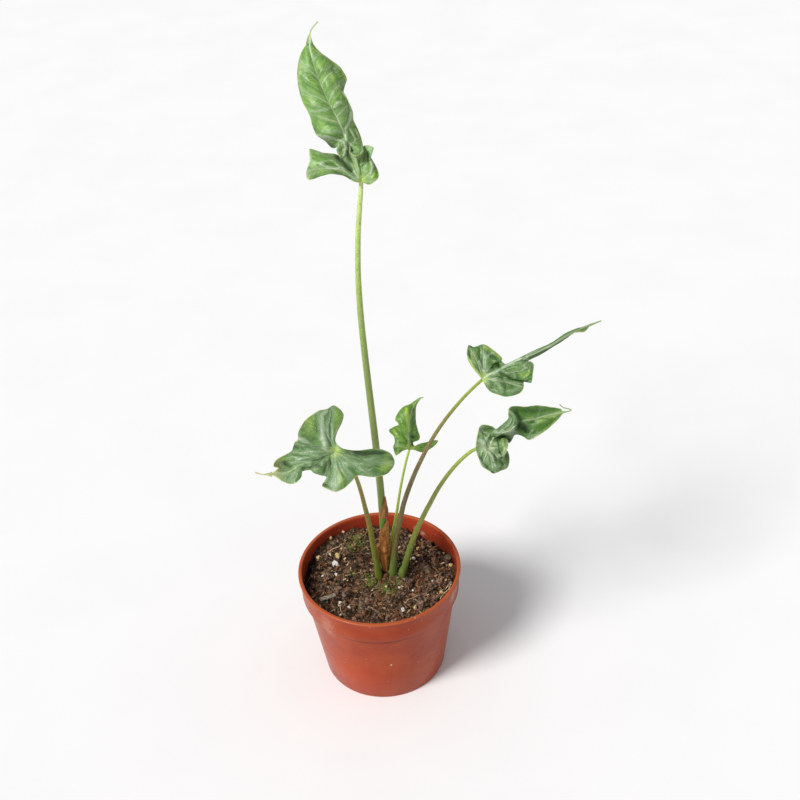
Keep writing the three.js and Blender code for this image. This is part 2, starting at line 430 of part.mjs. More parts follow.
// Round tube along a route, with flat ends; swell widens it all over and reach lengthens both ends
function tube(route, swell, reach) {
  const curve = curveOf(route);
  const last = curve.points.length - 1;
  const down = curve.points[0].clone().sub(curve.points[1]).setLength(reach);
  const out = curve.points[last].clone().sub(curve.points[last - 1]).setLength(reach);
  curve.points[0].add(down);
  curve.points[last].add(out);
  const steps = Math.round(curve.getLength() / STEM_STEP);
  const frames = curve.computeFrenetFrames(steps, false);
  const positions = [];
  const faces = [];
  for (let i = 0; i <= steps; i += 1) {
    const centre = curve.getPointAt(i / steps);
    const radius = radiusAt(route, curve, i / steps) + swell;
    for (let j = 0; j < STEM_SIDES; j += 1) {
      const angle = (2 * Math.PI * j) / STEM_SIDES;
      const rim = centre.clone()
        .addScaledVector(frames.normals[i], radius * Math.cos(angle))
        .addScaledVector(frames.binormals[i], radius * Math.sin(angle));
      positions.push(rim.x, rim.y, rim.z);
    }
  }
  for (let i = 0; i < steps; i += 1) {
    for (let j = 0; j < STEM_SIDES; j += 1) {
      const a = i * STEM_SIDES + j;
      const b = i * STEM_SIDES + ((j + 1) % STEM_SIDES);
      faces.push(a, b, b + STEM_SIDES, a, b + STEM_SIDES, a + STEM_SIDES);
    }
  }
  for (let j = 1; j < STEM_SIDES - 1; j += 1) {
    const top = steps * STEM_SIDES;
    faces.push(0, j + 1, j, top, top + j, top + j + 1);
  }
  const geometry = new THREE.BufferGeometry();
  geometry.setAttribute('position', new THREE.Float32BufferAttribute(positions, 3));
  geometry.setIndex(faces);
  return geometry;
}

// A stem with its wing; with a gap it is the room that other pieces leave for it
function stemSolid({ route, wing }, gap = 0) {
  const solid = solidOf(tube(route, gap, gap));
  return wing ? solid.add(solidOf(tube(wing, gap, gap))) : solid;
}

function withoutStems(solid) {
  return Object.values(STEMS).reduce((rest, stem) => rest.subtract(stemSolid(stem, GAP)), solid);
}

// One half of a blade: rows across it by place in the list, or by station on the midrib
class HalfBlade {
  constructor(leaf, side) {
    const { midrib, [side]: rows } = leaf;
    this.midrib = midrib;
    this.sign = side === 'left' ? 1 : -1;
    this.stations = rows.map(([station]) => station);
    this.margin = rows.map(([, point]) => point);
    this.halfway = rows.map(([station, point, half]) => {
      if (Array.isArray(half)) return half;
      const middle = mix(along(midrib, station), point, 0.5);
      return [middle[0], middle[1], middle[2] + half];
    });
    this.fan = this.stations.lastIndexOf(0);
    this.end = this.stations.at(-1);
  }

  rowAt(place) {
    const i = Math.min(Math.floor(place), this.stations.length - 2);
    const [station] = mix([this.stations[i]], [this.stations[i + 1]], place - i);
    return [along(this.midrib, station), along(this.halfway, place), along(this.margin, place)];
  }

  rowFrom(station) {
    if (station > this.end) return this.tailRow(station);
    const next = this.stations.findIndex((value, k) => k > this.fan && value >= station);
    const [low, high] = [this.stations[next - 1], this.stations[next]];
    return this.rowAt(next - 1 + (station - low) / (high - low));
  }

  // Past its last row the half blade is one side of the drip tip
  tailRow(station) {
    const rib = along(this.midrib, station);
    const before = along(this.midrib, station - 0.01);
    const across = new THREE.Vector2(before[1] - rib[1], rib[0] - before[0]).normalize();
    const last = this.rowAt(this.stations.length - 1);
    const start = Math.hypot(...last[2].map((value, k) => value - last[0][k]));
    const taper = Math.min((station - this.end) / TAIL_TAPER_STATIONS, 1);
    const width = THREE.MathUtils.lerp(start, TAIL_HALF_WIDTH, taper) * this.sign;
    const edge = [rib[0] + across.x * width, rib[1] + across.y * width, rib[2]];
    return [rib, mix(rib, edge, 0.5), edge];
  }
}

// Point of a row's parabola through its rib, halfway and margin points
function across([rib, halfway, margin], f) {
  return rib.map((start, k) => {
    const pull = 2 * halfway[k] - (start + margin[k]) / 2;
    return (1 - f) ** 2 * start + 2 * f * (1 - f) * pull + f * f * margin[k];
  });
}

// Stations that both halves share: every row's own, then the drip tip's
function sharedStations(halves, midrib) {
  const rows = halves.flatMap((half) => half.stations).filter((station) => station > 0);
  const stations = [0];
  rows.sort((a, b) => a - b).forEach((station) => {
    if (station - stations.at(-1) >= ROW_MERGE) stations.push(station);
  });
  const start = stations.at(-1);
  const steps = Math.round((midrib.length - 1 - start) * TAIL_STEPS_PER_STATION);
  for (let i = 1; i <= steps; i += 1) stations.push(start + ((midrib.length - 1 - start) * i) / steps);
  return stations.slice(1);
}

// The blade's middle surface as points and triangles, its halves sharing the midrib
function bladeSheet(leaf) {
  const halves = [new HalfBlade(leaf, 'left'), new HalfBlade(leaf, 'right')];
  const stations = sharedStations(halves, leaf.midrib);
  const points = [];
  const known = new Map();
  const place = (values) => {
    const key = values.map((value) => value.toFixed(4)).join();
    if (!known.has(key)) {
      known.set(key, points.length);
      points.push(new THREE.Vector3(...values.map((value, k) => value * leaf.size[k])));
    }
    return known.get(key);
  };
  const triangles = [];
  halves.forEach((half) => {
    const fan = half.stations.slice(0, half.fan + 1).map((_, row) => half.rowAt(row));
    const rows = [...fan, ...stations.map((station) => half.rowFrom(station))];
    const grid = rows.map((row) => (
      Array.from({ length: BLADE_COLUMNS + 1 }, (_, j) => place(across(row, j / BLADE_COLUMNS)))
    ));
    for (let i = 1; i < grid.length; i += 1) {
      for (let j = 0; j < BLADE_COLUMNS; j += 1) {
        const [a, b, c, d] = [grid[i - 1][j], grid[i - 1][j + 1], grid[i][j + 1], grid[i][j]];
        const straight = points[a].distanceTo(points[c]) <= points[b].distanceTo(points[d]);
        const pair = straight ? [[a, b, c], [a, c, d]] : [[a, b, d], [b, c, d]];
        pair.filter((triangle) => new Set(triangle).size === 3)
          .forEach((triangle) => triangles.push(half.sign > 0 ? triangle.reverse() : triangle));
      }
    }
  });
  return { points, triangles };
}

// Directions that the sheet is thickened along, evened out between neighbours
function sheetNormals({ points, triangles }) {
  let normals = points.map(() => new THREE.Vector3());
  const neighbours = points.map(() => new Set());
  triangles.forEach((triangle) => {
    const [a, b, c] = triangle.map((index) => points[index]);
    const normal = b.clone().sub(a).cross(c.clone().sub(a));
    triangle.forEach((index) => {
      normals[index].add(normal);
      triangle.forEach((other) => other !== index && neighbours[index].add(other));
    });
  });
  normals.forEach((normal) => normal.normalize());
  for (let pass = 0; pass < SMOOTHING; pass += 1) {
    normals = normals.map((normal, index) => {
      const sum = new THREE.Vector3();
      neighbours[index].forEach((other) => sum.add(normals[other]));
      return sum.divideScalar(neighbours[index].size).add(normal).normalize();
    });
  }
  return normals;
}

// A sheet given its thickness: one small prism on each triangle, all joined, so that folds that
// touch each other become one body
function thickened(sheet, thickness) {
  const normals = sheetNormals(sheet);
  const side = (offset) => sheet.points.map((point, k) => (
    point.clone().addScaledVector(normals[k], offset)
  ));
  const [front, back] = [side(thickness / 2), side(-thickness / 2)];
  const prisms = sheet.triangles.map((triangle) => {
    const corners = [...triangle.map((k) => front[k]), ...triangle.map((k) => back[k])];
    const faces = [0, 1, 2, 3, 5, 4];
    for (let i = 0; i < 3; i += 1) {
      const j = (i + 1) % 3;
      if (triangle[i] < triangle[j]) faces.push(j, i, j + 3, i, i + 3, j + 3);
      else faces.push(j, i, i + 3, j, i + 3, j + 3);
    }
    const [a, b, c] = triangle.map((k) => sheet.points[k]);
    const flat = b.clone().sub(a).cross(c.clone().sub(a));
    const facing = triangle.reduce((sum, k) => sum + flat.dot(normals[k]), 0);
    if (facing < 0) faces.reverse();
    return new wasm.Manifold(
      new wasm.Mesh({
        numProp: 3,
        vertProperties: new Float32Array(corners.flatMap((corner) => corner.toArray())),
        triVerts: new Uint32Array(faces),
      }),
    );
  });
  return largest(wasm.Manifold.union(prisms));
}

// Placement of a leaf's own right, up and toward directions at its junction
function leafFrame({ junction, tilt, turn, roll }) {
  const rise = THREE.MathUtils.degToRad(tilt);
  const swing = THREE.MathUtils.degToRad(turn);
  const toward = new THREE.Vector3(
    Math.sin(swing) * Math.cos(rise),
    -Math.cos(swing) * Math.cos(rise),
    Math.sin(rise),
  );
  const level = new THREE.Vector3(Math.cos(swing), Math.sin(swing), 0);
  const right = level.applyAxisAngle(toward, THREE.MathUtils.degToRad(roll));
  const up = toward.clone().cross(right);
  return new THREE.Matrix4().makeBasis(right, up, toward).setPosition(...junction);
}

function blade(leaf, stem) {
  const sheet = bladeSheet(leaf);
  const frame = leafFrame(leaf);
  sheet.points.forEach((point) => point.applyMatrix4(frame));
  const knob = new THREE.SphereGeometry(JUNCTION_RADIUS, 10, 6).translate(0, 0, -JUNCTION_RADIUS / 2);
  const solid = thickened(sheet, BLADE_THICKNESS).add(solidOf(knob.applyMatrix4(frame)));
  return geometryOf(solid.subtract(stemSolid(stem, GAP)));
}

// Thin plastic pot with a deep collar, a raised floor and drain holes
function pot() {
  const collarBase = POT_HEIGHT - COLLAR_HEIGHT;
  const collarRadius = RIM_RADIUS - COLLAR_TAPER - LIP / 2;
  const neck = collarRadius - COLLAR_STEP;
  const footInner = BASE_RADIUS - FOOT_WIDTH;
  const outer = [
    [0, 0], [PLINTH_RADIUS, 0], [PLINTH_RADIUS + FOOT_SLOPE, FOOT_RISE],
    [footInner - FOOT_SLOPE, FOOT_RISE], [footInner, 0], [BASE_RADIUS - 1, 0], [BASE_RADIUS, 1],
    [neck, collarBase - STEP_SLOPE], [collarRadius, collarBase],
    [RIM_RADIUS - LIP, POT_HEIGHT - LIP_HEIGHT], [RIM_RADIUS - 0.2, POT_HEIGHT - 0.75 * LIP_HEIGHT],
    [RIM_RADIUS, POT_HEIGHT - 0.4 * LIP_HEIGHT], [RIM_RADIUS - LIP / 2, POT_HEIGHT],
  ];
  const inner = [
    [RIM_RADIUS - LIP - 0.7 * WALL, POT_HEIGHT], [RIM_RADIUS - LIP - WALL, POT_HEIGHT - 0.8],
    [collarRadius - WALL, collarBase + WALL], [neck - WALL, collarBase - STEP_SLOPE],
    [BASE_RADIUS - WALL, WALL], [footInner + 0.4 * WALL, WALL],
    [footInner - 0.7 * WALL, FOOT_RISE + WALL], [PLINTH_RADIUS + 0.7 * WALL, FOOT_RISE + WALL],
    [PLINTH_RADIUS - 0.4 * WALL, WALL], [0, WALL],
  ];
  let solid = solidOf(turned([...outer, ...inner], POT_SIDES));
  for (let i = 0; i < DRAIN_COUNT; i += 1) {
    const angle = (2 * Math.PI * (i + 0.5)) / DRAIN_COUNT;
    const drill = new THREE.CylinderGeometry(DRAIN_RADIUS, DRAIN_RADIUS, 4 * FOOT_RISE, DRAIN_SIDES);
    drill.rotateX(Math.PI / 2);
    drill.translate(DRAIN_CIRCLE * Math.cos(angle), DRAIN_CIRCLE * Math.sin(angle), FOOT_RISE);
    solid = solid.subtract(solidOf(drill));
  }
  return geometryOf(solid);
}

// Height of the soil's surface: a mound round the corm, banks at the wall, and lumps all over
function soilHeight(x, y) {
  const reach = Math.hypot(x - CORM_CENTRE[0], y - CORM_CENTRE[1]) / RIM_RADIUS;
  const mound = SOIL_MOUND * Math.exp(-5 * reach * reach);
  const outward = (x * x + y * y) / RIM_RADIUS ** 2;
  const azimuth = THREE.MathUtils.radToDeg(Math.atan2(y, x));
  const banks = SOIL_BANKS.reduce((sum, [middle, width, height]) => {
    const away = THREE.MathUtils.euclideanModulo(azimuth - middle + 180, 360) - 180;
    return sum + height * outward * Math.exp(-((away / width) ** 2));
  }, 0);
  const clods = 0.9 * Math.sin(0.21 * x + 1.3) * Math.sin(0.24 * y + 0.4)
    + 0.55 * Math.sin(0.47 * x - 0.31 * y + 2.1)
    + 0.45 * Math.sin(0.38 * x + 0.52 * y)
    + 0.3 * Math.sin(0.83 * y - 0.41 * x + 0.7);
  return SOIL_LEVEL + mound + banks + clods;
}

// Soil filling the pot, with a lumpy top, the corm's hollow and a plain hole for each stem
function soil() {
  const collarBase = POT_HEIGHT - COLLAR_HEIGHT;
  const collarInner = RIM_RADIUS - COLLAR_TAPER - LIP / 2 - WALL;
  const neckInner = collarInner - COLLAR_STEP;
  const wall = collarInner - SOIL_CLEARANCE;
  const ledge = collarBase + WALL + SOIL_CLEARANCE;
  const profile = [
    [0, SOIL_BOTTOM], [BASE_RADIUS - WALL - SOIL_CLEARANCE, SOIL_BOTTOM],
    [neckInner - SOIL_CLEARANCE, collarBase - STEP_SLOPE + FINEST], [wall, ledge],
  ];
  for (let i = SOIL_RINGS; i >= 0; i -= 1) profile.push([wall * (i / SOIL_RINGS), SOIL_LEVEL]);
  const geometry = turned(profile, SOIL_SIDES);
  const position = geometry.attributes.position;
  for (let i = 0; i < position.count; i += 1) {
    const height = Math.max(soilHeight(position.getX(i), position.getY(i)), ledge + 1);
    if (position.getZ(i) > SOIL_LEVEL - FINEST) position.setZ(i, height);
  }
  return geometryOf(withoutStems(solidOf(geometry).subtract(solidOf(cormShape(GAP)))));
}

function cormShape(swell) {
  const geometry = new THREE.SphereGeometry(1, 16, 10).rotateX(Math.PI / 2);
  geometry.scale(CORM_RADIUS + swell, CORM_RADIUS * 0.72 + swell, CORM_HALF_HEIGHT + swell);
  return geometry.translate(...CORM_CENTRE);
}

// Corm with a socket for the foot of each stem
function corm() {
  return geometryOf(withoutStems(solidOf(cormShape(0))));
}

// A torn strip of old sheath that stands a little off the tall stem
function sheath(rows) {
  const { route } = STEMS.tall;
  const curve = curveOf(route);
  const points = [];
  const triangles = [];
  rows.forEach(([height, leftAngle, leftStand, rightAngle, rightStand]) => {
    let share = 0;
    while (curve.getPointAt(share).z < height) share += 0.001;
    const centre = curve.getPointAt(share);
    const inner = radiusAt(route, curve, share) + SHEATH_THICKNESS / 2;
    for (let j = 0; j <= SHEATH_COLUMNS; j += 1) {
      const place = j / SHEATH_COLUMNS;
      const angle = THREE.MathUtils.degToRad(THREE.MathUtils.lerp(leftAngle, rightAngle, place));
      const radius = inner + THREE.MathUtils.lerp(leftStand, rightStand, place);
      points.push(new THREE.Vector3(
        centre.x + radius * Math.cos(angle),
        centre.y + radius * Math.sin(angle),
        height,
      ));
    }
  });
  for (let i = 1; i < rows.length; i += 1) {
    for (let j = 0; j < SHEATH_COLUMNS; j += 1) {
      const a = (i - 1) * (SHEATH_COLUMNS + 1) + j;
      const b = a + SHEATH_COLUMNS + 1;
      triangles.push([a, a + 1, b + 1], [a, b + 1, b]);
    }
  }
  return geometryOf(thickened({ points, triangles }, SHEATH_THICKNESS));
}

const plant = new THREE.Group();

function addPiece(name, geometry) {
  const [color, roughness] = FINISH[name];
  const material = new THREE.MeshStandardMaterial({ color, roughness, metalness: 0 });
  const mesh = new THREE.Mesh(geometry, material);
  mesh.name = name;
  plant.add(mesh);
}

addPiece('pot', pot());
addPiece('soil', soil());
addPiece('corm', corm());
Object.entries(SHEATHS).forEach(([name, rows]) => addPiece(name, sheath(rows)));
Object.entries(STEMS).forEach(([name, stem]) => {
  addPiece(`stem_${name}`, geometryOf(stemSolid(stem)));
  addPiece(`leaf_${name}`, blade(LEAVES[name], stem));
});

export default plant;
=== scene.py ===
"""Potted alocasia: curled arrow-shaped leaves on mottled stems, papery sheaths at the crown, and a
small terracotta-coloured nursery pot filled with crumbly potting soil.

Shapes are worked out in millimetres, +Z up, and turned into metres as each piece is finished.
"""

from __future__ import annotations

import logging
import math
import random
import sys
from dataclasses import dataclass, field
from enum import Enum
from functools import cached_property
from itertools import pairwise
from typing import Sequence

import bmesh
import bpy
from mathutils import Matrix, Vector, noise

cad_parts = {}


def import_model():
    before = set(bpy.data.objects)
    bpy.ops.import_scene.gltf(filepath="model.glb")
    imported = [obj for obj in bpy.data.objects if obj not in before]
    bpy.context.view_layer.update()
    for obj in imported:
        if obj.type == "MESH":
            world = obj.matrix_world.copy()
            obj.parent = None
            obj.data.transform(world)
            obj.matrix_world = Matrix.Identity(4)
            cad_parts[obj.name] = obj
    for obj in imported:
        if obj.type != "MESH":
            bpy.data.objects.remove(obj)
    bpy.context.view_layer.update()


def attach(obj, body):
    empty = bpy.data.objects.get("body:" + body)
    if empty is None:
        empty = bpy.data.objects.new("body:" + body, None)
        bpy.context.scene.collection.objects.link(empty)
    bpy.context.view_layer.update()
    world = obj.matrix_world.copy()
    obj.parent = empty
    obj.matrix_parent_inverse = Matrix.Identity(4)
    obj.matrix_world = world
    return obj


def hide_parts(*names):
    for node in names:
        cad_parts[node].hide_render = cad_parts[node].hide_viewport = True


LOG = logging.getLogger("potted_alocasia")
MM = 0.001
BODY = "root"
NOISE_SEED = 12
# How far light sinks into living leaves and stems.
FLESH = {"Subsurface_Weight": 0.08, "Subsurface_Scale": 0.002}

Point = tuple[float, float, float]
Guide = tuple[float, ...]
Stroke = tuple[float, ...]
Ring = tuple[float, float, float, float]
Socket = bpy.types.NodeSocket
Material = bpy.types.Material
Piece = bpy.types.Object
Draft = bmesh.types.BMesh
Vert = bmesh.types.BMVert
Edge = bmesh.types.BMEdge
Value = float | Socket
Tint = str | Socket
Coat = tuple[str | float | Socket, ...]


class Side(Enum):
    """The two halves of a blade, with the way each lies across the midrib."""

    LEFT = 1
    RIGHT = -1


class Axis(Enum):
    """Direction along which a colour changes, by the output it has on a Separate XYZ node."""

    X = "X"
    Y = "Y"
    Z = "Z"


class Cells(Enum):
    """What a cell pattern measures."""

    CENTRE = "F1"
    EDGE = "DISTANCE_TO_EDGE"


# ---- shapes shared by the pieces


def along(points: Sequence[Sequence[float]], place: float) -> list[float]:
    """Reads a smooth curve through a list of points.

    Args:
        points: points of equal length.
        place: where to read, counted in steps of the list.

    Returns:
        The curve's value there.
    """
    last = len(points) - 1
    i = min(max(math.floor(place), 0), last - 1)
    f = place - i
    b, c = points[i], points[i + 1]
    a = points[i - 1] if i > 0 else [2 * p - q for p, q in zip(b, c)]
    d = points[i + 2] if i + 2 <= last else [2 * q - p for p, q in zip(b, c)]
    return [
        0.5 * (2 * q + (r - p) * f + (2 * p - 5 * q + 4 * r - s) * f**2 + (3 * q - p - 3 * r + s) * f**3)
        for p, q, r, s in zip(a, b, c, d)
    ]


def blend(low: float, high: float, share: float) -> float:
    """Number that lies at a share of the way from low to high."""
    return low + (high - low) * share


def smooth(low: float, high: float, value: float) -> float:
    """Smooth step from 0 at low to 1 at high."""
    share = min(max((value - low) / (high - low), 0.0), 1.0)
    return share * share * (3 - 2 * share)


def carried_frames(path: Sequence[Vector], radii: Sequence[float]) -> list[Matrix]:
    """Places a unit ring at each point of a path without twisting it.

    Args:
        path: points of the centre line.
        radii: the ring's radius at each point.

    Returns:
        One matrix for each point, whose Z runs along the path.
    """
    frames: list[Matrix] = []
    last = len(path) - 1
    side = Vector((1.0, 0.0, 0.0))
    for i, point in enumerate(path):
        way = (path[min(i + 1, last)] - path[max(i - 1, 0)]).normalized()
        side = side - way * side.dot(way)
        if side.length < 1e-4:
            side = way.orthogonal()
        side.normalize()
        other = way.cross(side)
        frame = Matrix((side * radii[i], other * radii[i], way)).transposed().to_4x4()
        frame.translation = point
        frames.append(frame)
    return frames


def extruded(bm: Draft, edges: Sequence[Edge]) -> tuple[list[Vert], list[Edge]]:
    """Pulls new faces out of a ring of edges.

    Args:
        bm: mesh that holds the ring.
        edges: the ring's edges.

    Returns:
        The new ring's vertices and its edges.
    """
    made = bmesh.ops.extrude_edge_only(bm, edges=edges)["geom"]
    ring = [item for item in made if isinstance(item, Vert)]
    known = set(ring)
    return ring, [item for item in made if isinstance(item, Edge) and known.issuperset(item.verts)]


def add_tube(bm: Draft, path: Sequence[Vector], radii: Sequence[float], sides: int) -> None:
    """Adds a closed tube by pushing a ring along a path.

    Args:
        bm: mesh that gets the tube.
        path: points of the centre line.
        radii: the tube's radius at each point.
        sides: faces round the tube.
    """
    frames = carried_frames(path, radii)
    ring = bmesh.ops.create_circle(bm, cap_ends=True, segments=sides, radius=1.0, matrix=frames[0])["verts"]
    edges = list(dict.fromkeys(edge for vert in ring for edge in vert.link_edges))
    for before, after in pairwise(frames):
        ring, edges = extruded(bm, edges)
        bmesh.ops.transform(bm, matrix=after @ before.inverted(), verts=ring)
    bmesh.ops.edgeloop_fill(bm, edges=edges)


def tipped(draw: random.Random, across: float, along_it: float) -> Matrix:
    """Draws a small turn about X and then Y, each up to its greatest angle in radians."""
    first = Matrix.Rotation(draw.uniform(-across, across), 4, "X")
    return first @ Matrix.Rotation(draw.uniform(-along_it, along_it), 4, "Y")


def add_lump(
    bm: Draft,
    centre: Sequence[float],
    size: Sequence[float],
    draw: random.Random,
    detail: int = 1,
    rough: float = 0.25,
) -> None:
    """Adds a small uneven lump, turned any way.

    Args:
        bm: mesh that gets the lump.
        centre: the lump's middle.
        size: its three half sizes.
        draw: source of its random turn and unevenness.
        detail: 1 for 20 faces, and four times as many for each step more.
        rough: share of its size by which its surface goes in and out.
    """
    tip, far, bumps = 0.6, 99.0, 1.6
    turn = Matrix.Rotation(draw.uniform(0, math.tau), 4, "Z") @ tipped(draw, tip, tip)
    frame = Matrix.Translation(centre) @ turn @ Matrix.Diagonal((*size, 1.0))
    verts = bmesh.ops.create_icosphere(bm, subdivisions=detail, radius=1.0, matrix=frame)["verts"]
    middle = Vector(centre)
    seed = Vector([draw.uniform(-far, far) for _ in range(3)])
    scale = bumps / max(size)
    for vert in verts:
        away = vert.co - middle
        vert.co = middle + away * (1 + rough * 2 * noise.noise(away * scale + seed))


def drafted(name: str, bm: Draft) -> Piece:
    """Turns a bmesh in millimetres, which is used up, into an object in metres."""
    bmesh.ops.scale(bm, vec=(MM, MM, MM), verts=bm.verts)
    mesh = bpy.data.meshes.new(name)
    bm.to_mesh(mesh)
    bm.free()
    piece = bpy.data.objects.new(name, mesh)
    bpy.context.scene.collection.objects.link(piece)
    return piece


def finished(
    name: str,
    bm: Draft,
    materials: Sequence[Material],
    slot: str,
    replaced: Sequence[str] = (),
    sharp: float = 40.0,
    thickness: float = 0.0,
) -> Piece:
    """Turns a bmesh into a piece of the object that rides on the body.

    Args:
        name: the piece's name.
        bm: its mesh in millimetres, which is used up.
        materials: its materials in the order of its material indices.
        slot: the record's material slot; not used.
        replaced: solids that it stands for.
        sharp: angle in degrees above which an edge is shaded sharp.
        thickness: millimetres of thickness that a sheet is given, its back taking the second
            material and its edge the third.

    Returns:
        The new object.
    """
    piece = drafted(name, bm)
    for material in materials:
        piece.data.materials.append(material)
    if thickness:
        wall = piece.modifiers.new("thickness", "SOLIDIFY")
        wall.thickness = thickness * MM
        wall.offset = 0.0
        wall.material_offset = 1
        wall.material_offset_rim = 2
        settle(piece)
    piece.data.shade_smooth()
    piece.data.set_sharp_from_angle(angle=math.radians(sharp))
    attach(piece, BODY)
    if replaced:
        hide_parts(*replaced)
    LOG.info("%s: %d faces", name, len(piece.data.polygons))
    return piece


def settle(piece: Piece) -> None:
    """Makes an object's modifiers part of its mesh."""
    graph = bpy.context.evaluated_depsgraph_get()
    shaped = bpy.data.meshes.new_from_object(piece.evaluated_get(graph), depsgraph=graph)
    piece.modifiers.clear()
    piece.data = shaped


# ---- finishes


def tint(code: str) -> tuple[float, float, float, float]:
    """Linear colour of a hex code."""
    shares = [int(code[i : i + 2], 16) / 255 for i in (1, 3, 5)]
    linear = [c / 12.92 if c <= 0.04045 else ((c + 0.055) / 1.055) ** 2.4 for c in shares]
    return (linear[0], linear[1], linear[2], 1.0)


class Finish:
    """One material's nodes, built with short calls. Patterns are measured in millimetres."""

    def __init__(self, name: str) -> None:
        """Starts a material.

        Args:
            name: the material's name.
        """
        self.material = bpy.data.materials.new(name)
        self.material.use_nodes = True
        self.tree = self.material.node_tree
        self.shader = self.tree.nodes["Principled BSDF"]
        where = self.put("ShaderNodeTexCoord").outputs["Object"]
        self.place = self.put("ShaderNodeMapping", {"Vector": where, "Scale": (1 / MM,) * 3}).outputs[0]

    def put(self, kind: str, inputs: dict | None = None, **settings: object) -> bpy.types.Node:
        """Adds a node.

        Args:
            kind: the node's type.
            inputs: a value or another node's output for each input, by name or number.
            settings: the node's own properties.

        Returns:
            The node.
        """
        node = self.tree.nodes.new(kind)
        for key, value in settings.items():
            setattr(node, key, value)
        for key, value in (inputs or {}).items():
            self.feed(node.inputs[key], value)
        return node

    def feed(self, socket: Socket, value: object) -> None:
        """Links an output to an input, or sets the input's own value or colour."""
        if isinstance(value, Socket):
            self.tree.links.new(value, socket)
        else:
            socket.default_value = tint(value) if isinstance(value, str) else value

    def sum(self, operation: str, first: Value, second: Value = 0.0) -> Socket:
        """Does a Math node's operation on one or two numbers."""
        return self.put("ShaderNodeMath", {0: first, 1: second}, operation=operation).outputs[0]

    def times(self, first: Value, second: Value) -> Socket:
        """Product of two numbers."""
        return self.sum("MULTIPLY", first, second)

    def plus(self, first: Value, second: Value) -> Socket:
        """Sum of two numbers."""
        return self.sum("ADD", first, second)

    def less(self, first: Value, second: Value) -> Socket:
        """Difference of two numbers."""
        return self.sum("SUBTRACT", first, second)

    def fade(self, value: Value, low: float, high: float, start: float = 0.0, end: float = 1.0) -> Socket:
        """Goes smoothly from start to end while value goes from low to high."""
        inputs = {"Value": value, "From Min": low, "From Max": high, "To Min": start, "To Max": end}
        return self.put("ShaderNodeMapRange", inputs, interpolation_type="SMOOTHSTEP").outputs[0]

    def stretched(self, scale: Point) -> Socket:
        """Place on the piece with each direction scaled."""
        return self.put("ShaderNodeMapping", {"Vector": self.place, "Scale": scale}).outputs[0]

    def cloud(
        self,
        scale: float,
        detail: float = 3.0,
        roughness: float = 0.55,
        vector: Socket | None = None,
    ) -> Socket:
        """Noise about 0.5: lumps per millimetre, levels of finer lumps, and how strong those are."""
        inputs = {"Vector": vector or self.place, "Scale": scale, "Detail": detail, "Roughness": roughness}
        return self.put("ShaderNodeTexNoise", inputs).outputs[0]

    def cells(
        self,
        scale: float,
        measure: Cells = Cells.CENTRE,
        vector: Socket | None = None,
    ) -> Socket:
        """Distance in a pattern of cells, with cells per millimetre."""
        inputs = {"Vector": vector or self.place, "Scale": scale}
        return self.put("ShaderNodeTexVoronoi", inputs, feature=measure.value).outputs["Distance"]

    def coordinate(self, axis: Axis) -> Socket:
        """One coordinate of the place on the piece, in millimetres."""
        return self.put("ShaderNodeSeparateXYZ", {0: self.place}).outputs[axis.value]

    def uv(self, name: str) -> tuple[Socket, Socket]:
        """The two numbers that one of the piece's own UV maps holds."""
        node = self.put("ShaderNodeSeparateXYZ", {0: self.put("ShaderNodeUVMap", uv_map=name).outputs[0]})
        return node.outputs["X"], node.outputs["Y"]

    def away_from(self, centre: Point) -> Socket:
        """Distance from a point, in millimetres."""
        node = self.put("ShaderNodeVectorMath", {0: self.place, 1: centre}, operation="DISTANCE")
        return node.outputs["Value"]

    def mix(self, share: Value, first: Tint, second: Tint) -> Socket:
        """Mixes two colours, share being how much of the second shows."""
        return self.put("ShaderNodeMix", {0: share, 6: first, 7: second}, data_type="RGBA").outputs[2]

    def coats(self, body: Tint, layers: Sequence[Coat]) -> Socket:
        """Lays colours over a body.

        Args:
            body: the colour underneath.
            layers: for each its colour and its pattern, the pattern's low and high values, and how
                much of the colour shows at them where that isn't 0 and 1.

        Returns:
            The colour.
        """
        for colour, pattern, *ramp in layers:
            body = self.mix(self.fade(pattern, *ramp), body, colour)
        return body

    def stops(self, value: Value, stops: Sequence[tuple[float, str]]) -> Socket:
        """Reads a colour band, whose stops are places from 0 to 1 with their colours."""
        node = self.put("ShaderNodeValToRGB", {0: value})
        band = node.color_ramp.elements
        while len(band) < len(stops):
            band.new(0.5)
        for element, (place, _) in zip(band, stops):
            element.position = place
        for element, (_, code) in zip(band, stops):
            element.color = tint(code)
        return node.outputs[0]

    def relief(self, height: Value, depth: float, under: Socket | None = None) -> Socket:
        """Turns a pattern into relief of a depth in millimetres, over the relief under it."""
        node = self.put("ShaderNodeBump", {"Height": height, "Distance": depth * MM, "Strength": 1.0})
        if under:
            self.feed(node.inputs["Normal"], under)
        return node.outputs[0]

    def made(
        self,
        colour: Tint,
        roughness: Value,
        normal: Socket | None = None,
        **numbers: float,
    ) -> Material:
        """Ends the material.

        Args:
            colour: its colour.
            roughness: its roughness.
            normal: its relief.
            numbers: uniform settings, by the socket's name with _ for a space.

        Returns:
            The material.
        """
        self.feed(self.shader.inputs["Base Color"], colour)
        self.feed(self.shader.inputs["Roughness"], roughness)
        if normal:
            self.feed(self.shader.inputs["Normal"], normal)
        for key, value in numbers.items():
            self.shader.inputs[key.replace("_", " ")].default_value = value
        return self.material


